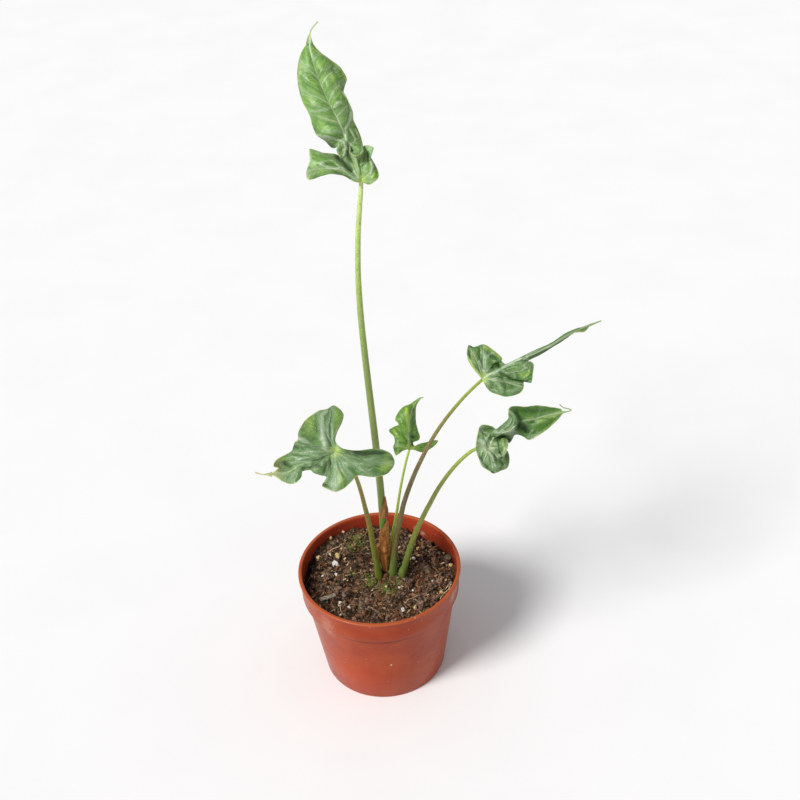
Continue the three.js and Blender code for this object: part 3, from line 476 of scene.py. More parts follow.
@dataclass(frozen=True)
class LeafPaint:
    """Colours of one blade. The tip's colour comes in over a stretch of one direction."""

    dark: str = "#437028"
    green: str = "#64973b"
    light: str = "#8bb752"
    # Silver along the veins: partly the leaf's own silvery colour, partly painted sheen.
    silver_sheen: str = "#adc0a0"
    sheen_reach: float = 4.0
    sheen_strength: float = 0.28
    salt: float = 0.2
    salt_tint: str = "#e4e6da"
    streaks: float = 8.0
    streak_length: float = 0.14
    vein_wander: float = 0.14
    branch_pitch: float = 2.6
    vein: str = "#cfdcb4"
    heart: str = "#a9c455"
    margin: str = "#b9cb82"
    dry: str = "#c2a06a"
    under: str = "#6f7464"
    under_flush: str = "#6d5a5e"
    # Colour of the painted shade in the creases and under folds.
    deep: str = "#1c3514"
    glow: str = "#aacb4d"
    tip: str = "#8fb147"
    tip_axis: Axis = Axis.Z
    tip_stretch: tuple[float, float] = (1e3, 1.1e3)

    def veins(self, finish: Finish) -> tuple[Socket, Socket, Socket]:
        """Draws the veins from the blade's own UV maps.

        Args:
            finish: material that gets them.

        Returns:
            The strong veins, the fine ones, and the distance to the nearest strong one.
        """
        place, gap = finish.uv("veins")
        rib, edge = finish.uv("spread")
        wander = finish.times(finish.less(finish.cloud(0.22), 0.5), self.vein_wander)
        aside = finish.times(finish.sum("PINGPONG", finish.plus(place, wander), 0.5), gap)
        near = finish.sum("MINIMUM", aside, rib)
        shown = finish.fade(finish.plus(rib, edge), 2.0, 7.0)
        slim = finish.fade(edge, 0.5, 14.0, 0.3, 1.0)
        lateral = finish.times(finish.fade(finish.sum("DIVIDE", aside, slim), 0.05, 0.6, 0.7, 0.0), shown)
        strong = finish.sum("MAXIMUM", lateral, finish.fade(rib, 0.25, 0.95, 1.0, 0.0))
        rank = finish.sum("DIVIDE", finish.less(rib, aside), self.branch_pitch)
        branch = finish.times(finish.sum("PINGPONG", rank, 0.5), self.branch_pitch)
        net = finish.fade(finish.cells(0.75, Cells.EDGE), 0.0, 0.09, 0.4, 0.0)
        twigs = finish.times(finish.fade(branch, 0.0, 0.35, 0.6, 0.0), shown)
        return strong, finish.sum("MAXIMUM", net, twigs), near

    def upper(self, name: str, junction: Point) -> Material:
        """Makes the upper side's material.

        Args:
            name: the blade's name.
            junction: where the stem meets the blade.

        Returns:
            The material.
        """
        finish = Finish(f"{name}_upper")
        strong, fine, near = self.veins(finish)
        rib, edge = finish.uv("spread")
        # The folds' painted highlight and painted shade, and their yellowness.
        painted_light_and_shade, warmth = finish.uv("shade")
        broad = finish.cloud(0.08, 2.0)
        number = finish.times(finish.uv("veins")[0], self.streaks)
        run = finish.put("ShaderNodeCombineXYZ", {0: number, 1: finish.times(rib, self.streak_length)})
        streak = finish.cloud(1.0, 4.0, 0.6, run.outputs[0])
        mottle = finish.cloud(0.5, 4.0, 0.6)
        sway = finish.times(finish.less(finish.cloud(0.8, 4.0, 0.65), 0.5), 1.6)
        tip = finish.fade(finish.coordinate(self.tip_axis), *self.tip_stretch)
        body = finish.coats(self.dark, (
            (self.green, broad, 0.3, 0.6),
            (self.light, streak, 0.45, 0.62, 0.0, 0.7),
            (self.dark, streak, 0.3, 0.45, 0.6, 0.0),
            (self.dark, mottle, 0.3, 0.48, 0.4, 0.0),
        ))
        body = finish.mix(tip, body, self.tip)
        bright = finish.plus(warmth, finish.times(sway, 0.4))
        body = finish.coats(body, ((self.glow, bright, 0.0, 0.75, 0.0, 0.85),))
        grain = finish.fade(finish.cloud(1.3, 4.0, 0.7), 0.36, 0.58, 0.4, 1.0)
        # Band along the veins, partly the leaf's own silvery colour and partly painted sheen.
        ragged = finish.plus(near, finish.times(sway, 3.0))
        silver_sheen = finish.fade(ragged, 0.0, self.sheen_reach, self.sheen_strength, 0.0)
        # Painted highlight: the silver colour laid on where the folds' tone is above 0.
        pale = finish.fade(finish.plus(painted_light_and_shade, finish.times(sway, 0.5)), 0.05, 0.85)
        body = finish.mix(finish.times(finish.sum("MAXIMUM", silver_sheen, pale), grain), body, self.silver_sheen)
        body = finish.mix(finish.times(fine, 0.3), body, self.vein)
        body = finish.coats(body, ((self.heart, finish.away_from(junction), 1.0, 6.5, 0.8, 0.0),))
        body = finish.mix(finish.times(strong, 0.7), body, self.vein)
        body = finish.mix(finish.times(tip, 0.5), body, self.tip)
        specks = finish.fade(finish.cells(0.8), 0.1, 0.22, self.salt, 0.0)
        body = finish.mix(finish.times(specks, finish.fade(broad, 0.45, 0.55)), body, self.salt_tint)
        rim = finish.plus(edge, finish.fade(finish.cloud(0.3), 0.3, 0.7, -0.25, 0.45))
        worn = finish.coats(self.margin, ((self.dry, finish.cloud(0.11, 2.0), 0.52, 0.6),))
        # Painted shade: the deep colour laid on in the creases where the folds' tone is below 0.
        sunk = finish.plus(painted_light_and_shade, finish.times(sway, 0.35))
        edged = (worn, rim, 0.15, 0.7, 0.8, 0.0)
        body = finish.coats(body, (edged, (self.deep, sunk, -0.95, -0.05, 0.8, 0.0)))
        height = finish.plus(finish.times(strong, -0.5), finish.times(fine, -0.25))
        normal = finish.relief(finish.cloud(1.1, 4.0, 0.6), 0.08, finish.relief(height, 0.2))
        gloss = finish.fade(mottle, 0.3, 0.7, 0.34, 0.46)
        return finish.made(body, gloss, normal, Specular_IOR_Level=0.5, **FLESH)

    def lower(self, name: str) -> Material:
        """Makes the underside's material.

        Args:
            name: the blade's name.

        Returns:
            The material.
        """
        finish = Finish(f"{name}_lower")
        strong, fine, _ = self.veins(finish)
        body = finish.coats(self.under, (
            (self.under_flush, finish.cloud(0.12, 3.0), 0.4, 0.62),
            (self.green, finish.cloud(0.9, 4.0), 0.4, 0.7, 0.0, 0.5),
        ))
        body = finish.mix(finish.times(fine, 0.35), body, self.silver_sheen)
        body = finish.mix(finish.times(strong, 0.8), body, self.vein)
        height = finish.plus(strong, finish.times(fine, 0.3))
        return finish.made(body, 0.62, finish.relief(height, 0.4), Specular_IOR_Level=0.3)

    def rim(self, name: str) -> Material:
        """Makes the thin edge's material, which the midrib shares."""
        finish = Finish(f"{name}_rim")
        colour = finish.mix(finish.fade(finish.cloud(0.35), 0.4, 0.6), self.margin, self.light)
        return finish.made(colour, 0.55, finish.relief(finish.cloud(2.0), 0.05))


@dataclass(frozen=True)
class StemPaint:
    """Colours of a stem from its foot to its blade, at shares of its height, with fine flecks."""

    bands: tuple[tuple[float, str], ...]
    fleck: str
    fleck_strength: float = 0.5
    pale: str = "#b5c47a"
    soil: str = "#5a4724"

    def made(self, name: str, low: float, high: float) -> Material:
        """Makes the stem's material.

        Args:
            name: the stem's name.
            low: height of the foot.
            high: height of the blade.

        Returns:
            The material.
        """
        finish = Finish(name)
        height = finish.coordinate(Axis.Z)
        climb = finish.put("ShaderNodeMapRange", {"Value": height, "From Min": low, "From Max": high})
        streak = finish.cloud(0.8, 3.0, 0.6, finish.stretched((1.0, 1.0, 0.06)))
        fleck = finish.cloud(1.3, 4.0, 0.7, finish.stretched((1.0, 1.0, 0.45)))
        soiled = finish.less(height, finish.times(finish.cloud(0.7, 4.0, 0.7), 16.0))
        body = finish.coats(finish.stops(climb.outputs[0], self.bands), (
            (self.pale, streak, 0.35, 0.7, 0.0, 0.22),
            (self.fleck, finish.cloud(2.4, 2.0, 0.6), 0.56, 0.64, 0.0, self.fleck_strength),
            (self.fleck, fleck, 0.49, 0.6, 0.0, self.fleck_strength),
            (self.soil, soiled, 74.0, 81.0, 0.85, 0.0),
        ))
        normal = finish.relief(streak, 0.08, finish.relief(finish.cloud(2.0), 0.03))
        gloss = finish.fade(fleck, 0.3, 0.7, 0.33, 0.45)
        return finish.made(body, gloss, normal, Specular_IOR_Level=0.35, **FLESH)


class DryFinish(Enum):
    """Plain rough stuff: two body colours, a fleck colour, and lumps per millimetre."""

    SHEATH = ("#a05f2a", "#cb8f4b", "#6b3a1c", 0.8)
    SHEATH_DARK = ("#8a5a30", "#b47e40", "#4d2f1a", 0.8)
    CORM = ("#4a2f1c", "#7a5230", "#a3794a", 0.35)
    CRUMB = ("#2d251e", "#8e7260", "#c8ac8c", 0.22)
    CLOD = ("#352a21", "#927662", "#c8ad90", 0.3)
    FIBRE = ("#8a6644", "#c8a579", "#5c4029", 0.15)
    SPLINTER = ("#4a3022", "#a57450", "#d2ab80", 0.2)
    CHAFF = ("#a58459", "#e0c79e", "#765839", 0.25)
    ROOTLET = ("#644830", "#8d6c4a", "#ab8962", 0.15)
    PERLITE = ("#d9d6cc", "#f2efe8", "#a39a8b", 0.9)
    BEAD = ("#c0a066", "#ddc694", "#8a6435", 0.5)
    BARK = ("#4b3527", "#77583f", "#9c8468", 0.6)
    GREY_BARK = ("#7d7266", "#a79a88", "#57493c", 0.6)
    STONE = ("#6e6a55", "#8f8b72", "#4a4638", 0.5)
    MOSS = ("#5f7a2c", "#90a84c", "#43591f", 0.5)
    ROOT = ("#c9b08a", "#e2cfaa", "#9c8058", 0.4)

    def made(self) -> Material:
        """Makes the material.

        Returns:
            The material.
        """
        first, second, fleck, scale = self.value
        finish = Finish(self.name.lower())
        spots = finish.cloud(scale * 4, 3.0, 0.7)
        colour = finish.coats(first, (
            (second, finish.cloud(scale, 3.0), 0.38, 0.62), (fleck, spots, 0.54, 0.7, 0.0, 0.7),
        ))
        # Lumps that lie on the soil share its painted shade patches and algae film.
        if self in (DryFinish.CRUMB, DryFinish.CLOD, DryFinish.SPLINTER, DryFinish.CORM):
            colour = painted_shade_and_algae(finish, colour)
        normal = finish.relief(finish.cloud(scale * 5, 4.0, 0.65), 0.2)
        gloss = finish.fade(spots, 0.3, 0.7, 0.95, 0.75)
        return finish.made(colour, gloss, normal, Specular_IOR_Level=0.25)


SOIL_TOP = 83.0
# Places on the soil, each with its reach: those darkened with painted shade, and those with a film of
# algae.
SHADE_PATCHES = (
    (18, 14, 11), (-13, 24, 9), (8, 18, 13), (34, 19, 12), (-21, -2, 8), (-51, 15, 10), (-31, -21, 7),
    (-6, -17, 5),
)
FILM = ((-7, -6, 9), (4, -15, 8), (13, -9, 6), (-18, 36, 10), (-20, 6, 5))


def painted_shade_and_algae(finish: Finish, body: Tint) -> Socket:
    """Darkens patches of the soil with painted shade and greens those with a film of algae.

    Args:
        finish: material that gets them.
        body: colour of the dry soil.

    Returns:
        The colour.
    """
    ragged = finish.fade(finish.cloud(0.3, 4.0, 0.65), 0.3, 0.7, -0.5, 0.5)
    grain = finish.fade(finish.cloud(0.9, 3.0, 0.7), 0.36, 0.6)
    body = finish.coats(body, (
        ("#241b15", finish.cloud(0.09, 4.0, 0.6), 0.4, 0.52, 0.45, 0.0),
        ("#86512c", finish.cloud(0.15, 3.0, 0.6), 0.5, 0.62, 0.0, 0.5),
    ))
    # Near-black patches are painted shade; the green ones are a film of algae.
    for patches, core, colour, cover in ((SHADE_PATCHES, 0.4, "#17100c", None), (FILM, 0.2, "#62712b", grain)):
        for x, y, size in patches:
            reach = finish.plus(finish.away_from((x, y, SOIL_TOP)), finish.times(ragged, size))
            share = finish.fade(reach, core * size, size, 0.75, 0.0)
            body = finish.mix(finish.times(share, cover) if cover else share, body, colour)
    return body


def papery(name: str, base: DryFinish) -> Material:
    """Makes the dry sheaths' material, with lengthwise veins.

    Args:
        name: the material's name.
        base: its colours.

    Returns:
        The material.
    """
    first, second, fleck, _ = base.value
    finish = Finish(name)
    grain = finish.cloud(1.1, 4.0, 0.7, finish.stretched((1.0, 1.0, 0.07)))
    colour = finish.coats(first, (
        (second, grain, 0.36, 0.64),
        (fleck, finish.cloud(0.16, 4.0, 0.65), 0.5, 0.68, 0.0, 0.75),
        ("#8a4a2c", finish.uv("spread")[0], 0.0, 0.8, 0.6, 0.0),
    ))
    normal = finish.relief(grain, 0.3)
    return finish.made(colour, finish.fade(grain, 0.3, 0.7, 0.5, 0.8), normal, Specular_IOR_Level=0.35)


# ---- leaf blades


@dataclass(frozen=True)
class Row:
    """One row across a half blade: a parabola from the rib to the margin."""

    rib: Vector
    halfway: Vector
    margin: Vector
    place: float

    def at(self, share: float) -> Vector:
        """Point at a share of the way from the rib to the margin."""
        pull = 2 * self.halfway - (self.rib + self.margin) / 2
        return (1 - share) ** 2 * self.rib + 2 * share * (1 - share) * pull + share**2 * self.margin


class HalfBlade:
    """One half of a blade, as rows that are read by place in the list or by station on the midrib."""

    tail_half_width = 0.4
    tail_taper = 0.8
    vein_gap = 13.0
    least_reach = 3.0
    lone_vein_rows = 3.0

    def __init__(self, midrib: Sequence[Point], guides: Sequence[Guide], side: Side) -> None:
        """Takes in the guide rows.

        Args:
            midrib: points of the midrib from the junction to the drip tip.
            guides: rows, each a station, a margin point, and a halfway point or its rise.
            side: which half this is.
        """
        self.midrib = midrib
        self.side = side
        self.stations = [guide[0] for guide in guides]
        self.margin = [guide[1:4] for guide in guides]
        self.halfway = [self.halfway_point(guide[0], guide[1:4], guide[4:]) for guide in guides]
        self.fan = max(i for i, station in enumerate(self.stations) if station == 0)
        self.veins = self.vein_places()

    def halfway_point(self, station: float, edge: Sequence[float], own: Sequence[float]) -> Sequence[float]:
        """Gives a row's halfway point, which may be written as its rise over a straight row."""
        if len(own) > 1:
            return own
        middle = [(p + q) / 2 for p, q in zip(along(self.midrib, station), edge)]
        return [middle[0], middle[1], middle[2] + own[0]]

    def vein_places(self) -> list[float]:
        """Finds where the strong veins run, which is to the places where the margin stands out.

        Returns:
            Places in the list of rows.
        """
        ribs = [Vector(along(self.midrib, station)) for station in self.stations]
        reach = [(Vector(edge) - rib).length for edge, rib in zip(self.margin, ribs)]
        places = [
            float(i)
            for i in range(1, len(reach) - 1)
            if reach[i] >= reach[i - 1] and reach[i] > reach[i + 1] and reach[i] > self.least_reach
        ]
        filled: list[float] = places[:1]
        for low, high in pairwise(places):
            edge = [Vector(point) for point in self.margin[int(low) : int(high) + 1]]
            span = sum((there - here).length for here, there in pairwise(edge))
            extra = max(round(span / self.vein_gap), 1)
            filled += [blend(low, high, (i + 1) / extra) for i in range(extra)]
        return filled or [0.0]

    def vein_number(self, place: float) -> float:
        """Counts the strong veins up to a place in the list, with shares between them."""
        veins = self.veins
        if len(veins) < 2:
            return (place - veins[0]) / self.lone_vein_rows
        last = len(veins) - 2
        i = next((i for i in range(last) if place <= veins[i + 1]), last)
        return i + (place - veins[i]) / (veins[i + 1] - veins[i])

    def row_at(self, place: float) -> Row:
        """Reads the row at a place in the list."""
        i = min(math.floor(place), len(self.stations) - 2)
        station = blend(self.stations[i], self.stations[i + 1], place - i)
        parts = along(self.midrib, station), along(self.halfway, place), along(self.margin, place)
        return Row(*(Vector(part) for part in parts), place)

    def row_from(self, station: float) -> Row:
        """Reads the row that starts at a station past the fan."""
        if station > self.stations[-1]:
            return self.tail_row(station)
        after = next(i for i, own in enumerate(self.stations) if i > self.fan and own >= station)
        low, high = self.stations[after - 1], self.stations[after]
        return self.row_at(after - 1 + (station - low) / (high - low))

    def tail_row(self, station: float) -> Row:
        """Makes a row of the drip tip, past the last guide row."""
        rib = Vector(along(self.midrib, station))
        way = rib - Vector(along(self.midrib, station - 0.01))
        across = Vector((-way.y, way.x, 0.0)).normalized()
        last = self.row_at(len(self.stations) - 1)
        taper = min((station - self.stations[-1]) / self.tail_taper, 1.0)
        width = blend((last.margin - last.rib).length, self.tail_half_width, taper) * self.side.value
        edge = rib + across * width
        return Row(rib, (rib + edge) / 2, edge, len(self.stations) - 1 + taper)


class Fold:
    """A ridge or a crease of a blade, along a line in the blade's own right and up, with a painted
    highlight along it where its tone is above 0 and painted shade where it is below.
    """

    def __init__(self, width: float, painted_light_and_shade: float, warmth: float, *line: float) -> None:
        """Takes half its width, its tone (painted highlight above 0, painted shade below 0), how yellow it
        is, and its line as x, y, x, y.
        """
        self.width = width
        self.shade = Vector((painted_light_and_shade, warmth))
        self.rise = painted_light_and_shade * (0.8 + 0.5 * width) + 0.7 * warmth
        self.line = list(zip(line[::2], line[1::2]))
        reach = 2.5 * width
        self.low = min(line[::2]) - reach, min(line[1::2]) - reach
        self.high = max(line[::2]) + reach, max(line[1::2]) + reach

    def strength(self, x: float, y: float) -> float:
        """Tells how strongly the fold shows at a place.

        Args:
            x: place to the right.
            y: place up the blade.

        Returns:
            1 on its line, falling to 0 beside it.
        """
        if not (self.low[0] < x < self.high[0] and self.low[1] < y < self.high[1]):
            return 0.0
        nearest = math.inf
        for (ax, ay), (bx, by) in pairwise(self.line):
            run, climb = bx - ax, by - ay
            share = ((x - ax) * run + (y - ay) * climb) / (run * run + climb * climb)
            share = min(max(share, 0.0), 1.0)
            nearest = min(nearest, (x - ax - share * run) ** 2 + (y - ay - share * climb) ** 2)
        return math.exp(-nearest / self.width**2)


@dataclass(frozen=True)
class Blade:
    """One leaf blade: its guide rows, its place and its paint."""

    name: str
    junction: Point
    tilt: float
    turn: float
    roll: float
    midrib: Sequence[Point]
    left: Sequence[Guide]
    right: Sequence[Guide]
    folds: Sequence[Stroke]
    paint: LeafPaint
    size: Point = (1.0, 1.0, 1.0)
    thickness: float = 0.5
    columns: int = 36
    fan_steps: int = 9
    row_pitch: float = 0.085
    puff: float = 0.07
    most_puff: float = 0.6
    slant: float = 0.5
    flat_at_rib: tuple[float, float] = (0.3, 4.0)
    flat_at_edge: tuple[float, float] = (0.0, 4.0)
    flat_if_slim: tuple[float, float] = (3.0, 9.0)
    widest_gap: float = 30.0
    edge_rows: int = 14
    weld: float = 0.02
    grain: tuple[tuple[float, float], ...] = ((0.35, 0.12), (0.9, 0.05))
    maps: tuple[str, str, str] = ("veins", "spread", "shade")

    @cached_property
    def halves(self) -> tuple[HalfBlade, HalfBlade]:
        """The left half and the right half."""
        left = HalfBlade(self.midrib, self.left, Side.LEFT)
        return left, HalfBlade(self.midrib, self.right, Side.RIGHT)

    @cached_property
    def creases(self) -> list[Fold]:
        """The folds, whose numbers are written in tenths."""
        return [Fold(*(number / 10 for number in stroke)) for stroke in self.folds]

    @cached_property
    def frame(self) -> Matrix:
        """Matrix from the blade's own right, up and toward to the object's frame."""
        rise, swing = math.radians(self.tilt), math.radians(self.turn)
        flat = math.cos(rise)
        toward = Vector((math.sin(swing) * flat, -math.cos(swing) * flat, math.sin(rise)))
        level = Vector((math.cos(swing), math.sin(swing), 0.0))
        right = Matrix.Rotation(math.radians(self.roll), 3, toward) @ level
        up = toward.cross(right)
        frame = Matrix((right, up, toward)).transposed().to_4x4()
        frame.translation = self.junction
        return frame @ Matrix.Diagonal((*self.size, 1.0))

    def shared_stations(self) -> list[float]:
        """Lists the stations past the fan, up to the drip tip, that both halves are drawn at."""
        own = sorted(station for half in self.halves for station in half.stations if station > 0)
        end = len(self.midrib) - 1
        marks = [0.0]
        for station in [*own, end]:
            if station - marks[-1] >= self.row_pitch:
                marks.append(station)
        marks[-1] = end
        stations: list[float] = []
        for low, high in pairwise(marks):
            steps = math.ceil((high - low) / self.row_pitch)
            stations += [blend(low, high, (i + 1) / steps) for i in range(steps)]
        return stations

    def add_half(self, bm: Draft, half: HalfBlade, stations: Sequence[float]) -> None:
        """Adds one half as a grid laid over its rows, with its three UV maps.

        Args:
            bm: mesh that gets it.
            half: the half blade.
            stations: stations past the fan.
        """
        frame = self.frame
        fan = [half.row_at(i / self.fan_steps) for i in range(half.fan * self.fan_steps + 1)]
        rows = [*fan, *(half.row_from(station) for station in stations)]
        last = len(rows) - 1
        shares = [j / self.columns for j in range(self.columns + 1)]
        folded = [[self.folded(row.at(share)) for share in shares] for row in rows]
        points = [[frame @ point for point, _ in line] for line in folded]
        numbers = [half.vein_number(row.place) for row in rows]
        puff = bm.verts.layers.float["puff"]
        made = bmesh.ops.create_grid(bm, x_segments=self.columns, y_segments=last, size=1.0)["verts"]
        layers = [bm.loops.layers.uv[name] for name in self.maps]
        known: dict[Vert, tuple[Vector, Vector, Vector]] = {}
        for vert in made:
            column = round((vert.co.x + 1) / 2 * self.columns)
            i = round((vert.co.y + 1) / 2 * last)
            line, low, high = points[i], max(i - 1, 0), min(i + 1, last)
            run = (points[high][column] - points[low][column]).length
            gap = min(run / max(abs(numbers[high] - numbers[low]), 1e-3), self.widest_gap)
            rib = sum((q - p).length for p, q in pairwise(line[: column + 1]))
            near = range(max(i - self.edge_rows, 0), min(i + self.edge_rows, last) + 1, 2)
            edge = min((line[column] - points[k][-1]).length for k in (*near, i))
            vert.co = line[column]
            whole = rib + (line[-1] - line[column]).length
            past_fan = smooth(half.fan, half.fan + 2, rows[i].place)
            number = numbers[i] - self.slant * rib / max(gap, 1.0) * past_fan
            lift = math.sin(math.pi * number) ** 2
            lift *= smooth(*self.flat_at_rib, rib) * smooth(*self.flat_at_edge, edge)
            vert[puff] = min(self.puff * gap, self.most_puff) * lift * smooth(*self.flat_if_slim, whole)
            known[vert] = (Vector((number, gap)), Vector((rib, edge)), folded[i][column][1])
        for face in dict.fromkeys(face for vert in made for face in vert.link_faces):
            for loop in face.loops:
                for layer, value in zip(layers, known[loop.vert]):
                    loop[layer].uv = value

    def folded(self, point: Vector) -> tuple[Vector, Vector]:
        """Lifts or sinks a point of the blade by its folds.

        Args:
            point: place in the blade's own right, up and toward.

        Returns:
            The new place, and the painted highlight and shade and the yellowness that the folds give it.
        """
        rise, shade = 0.0, Vector((0.0, 0.0))
        for fold in self.creases:
            strength = fold.strength(point.x, point.y)
            rise += fold.rise * strength
            shade += fold.shade * strength
        return point + Vector((0.0, 0.0, rise)), shade

    def behind(self, station: float, depth: float) -> Vector:
        """Finds the point that lies a depth behind a station of the midrib."""
        left, right = (half.row_from(station) for half in self.halves)
        across = self.folded(right.at(0.2))[0] - self.folded(left.at(0.2))[0]
        ahead = Vector(along(self.midrib, station + 0.1)) - Vector(along(self.midrib, station - 0.1))
        return self.frame @ (self.folded(left.rib)[0] - across.cross(ahead).normalized() * depth)

    def build(self) -> Piece:
        """Builds the blade.

        Returns:
            The finished piece.
        """
        bm = bmesh.new()
        puff = bm.verts.layers.float.new("puff")
        for name in self.maps:
            bm.loops.layers.uv.new(name)
        stations = self.shared_stations()
        for half in self.halves:
            self.add_half(bm, half, stations)
        bmesh.ops.remove_doubles(bm, verts=bm.verts, dist=self.weld)
        bmesh.ops.dissolve_degenerate(bm, edges=bm.edges, dist=self.weld / 2)
        bmesh.ops.recalc_face_normals(bm, faces=bm.faces)
        toward = self.frame.to_3x3() @ Vector((0.0, 0.0, 1.0))
        if sum(face.normal.dot(toward) * face.calc_area() for face in bm.faces) < 0:
            bmesh.ops.reverse_faces(bm, faces=bm.faces)
        bm.normal_update()
        for vert in bm.verts:
            grain = sum(noise.noise(vert.co * scale) * depth for scale, depth in self.grain)
            vert.co = vert.co + vert.normal * (vert[puff] + grain)
        materials = (
            self.paint.upper(self.name, self.junction),
            self.paint.lower(self.name),
            self.paint.rim(self.name),
        )
        slot = f"leaf_{self.name}"
        return finished(
            f"blade_{self.name}", bm, materials, slot, [slot], sharp=50.0, thickness=self.thickness
        )


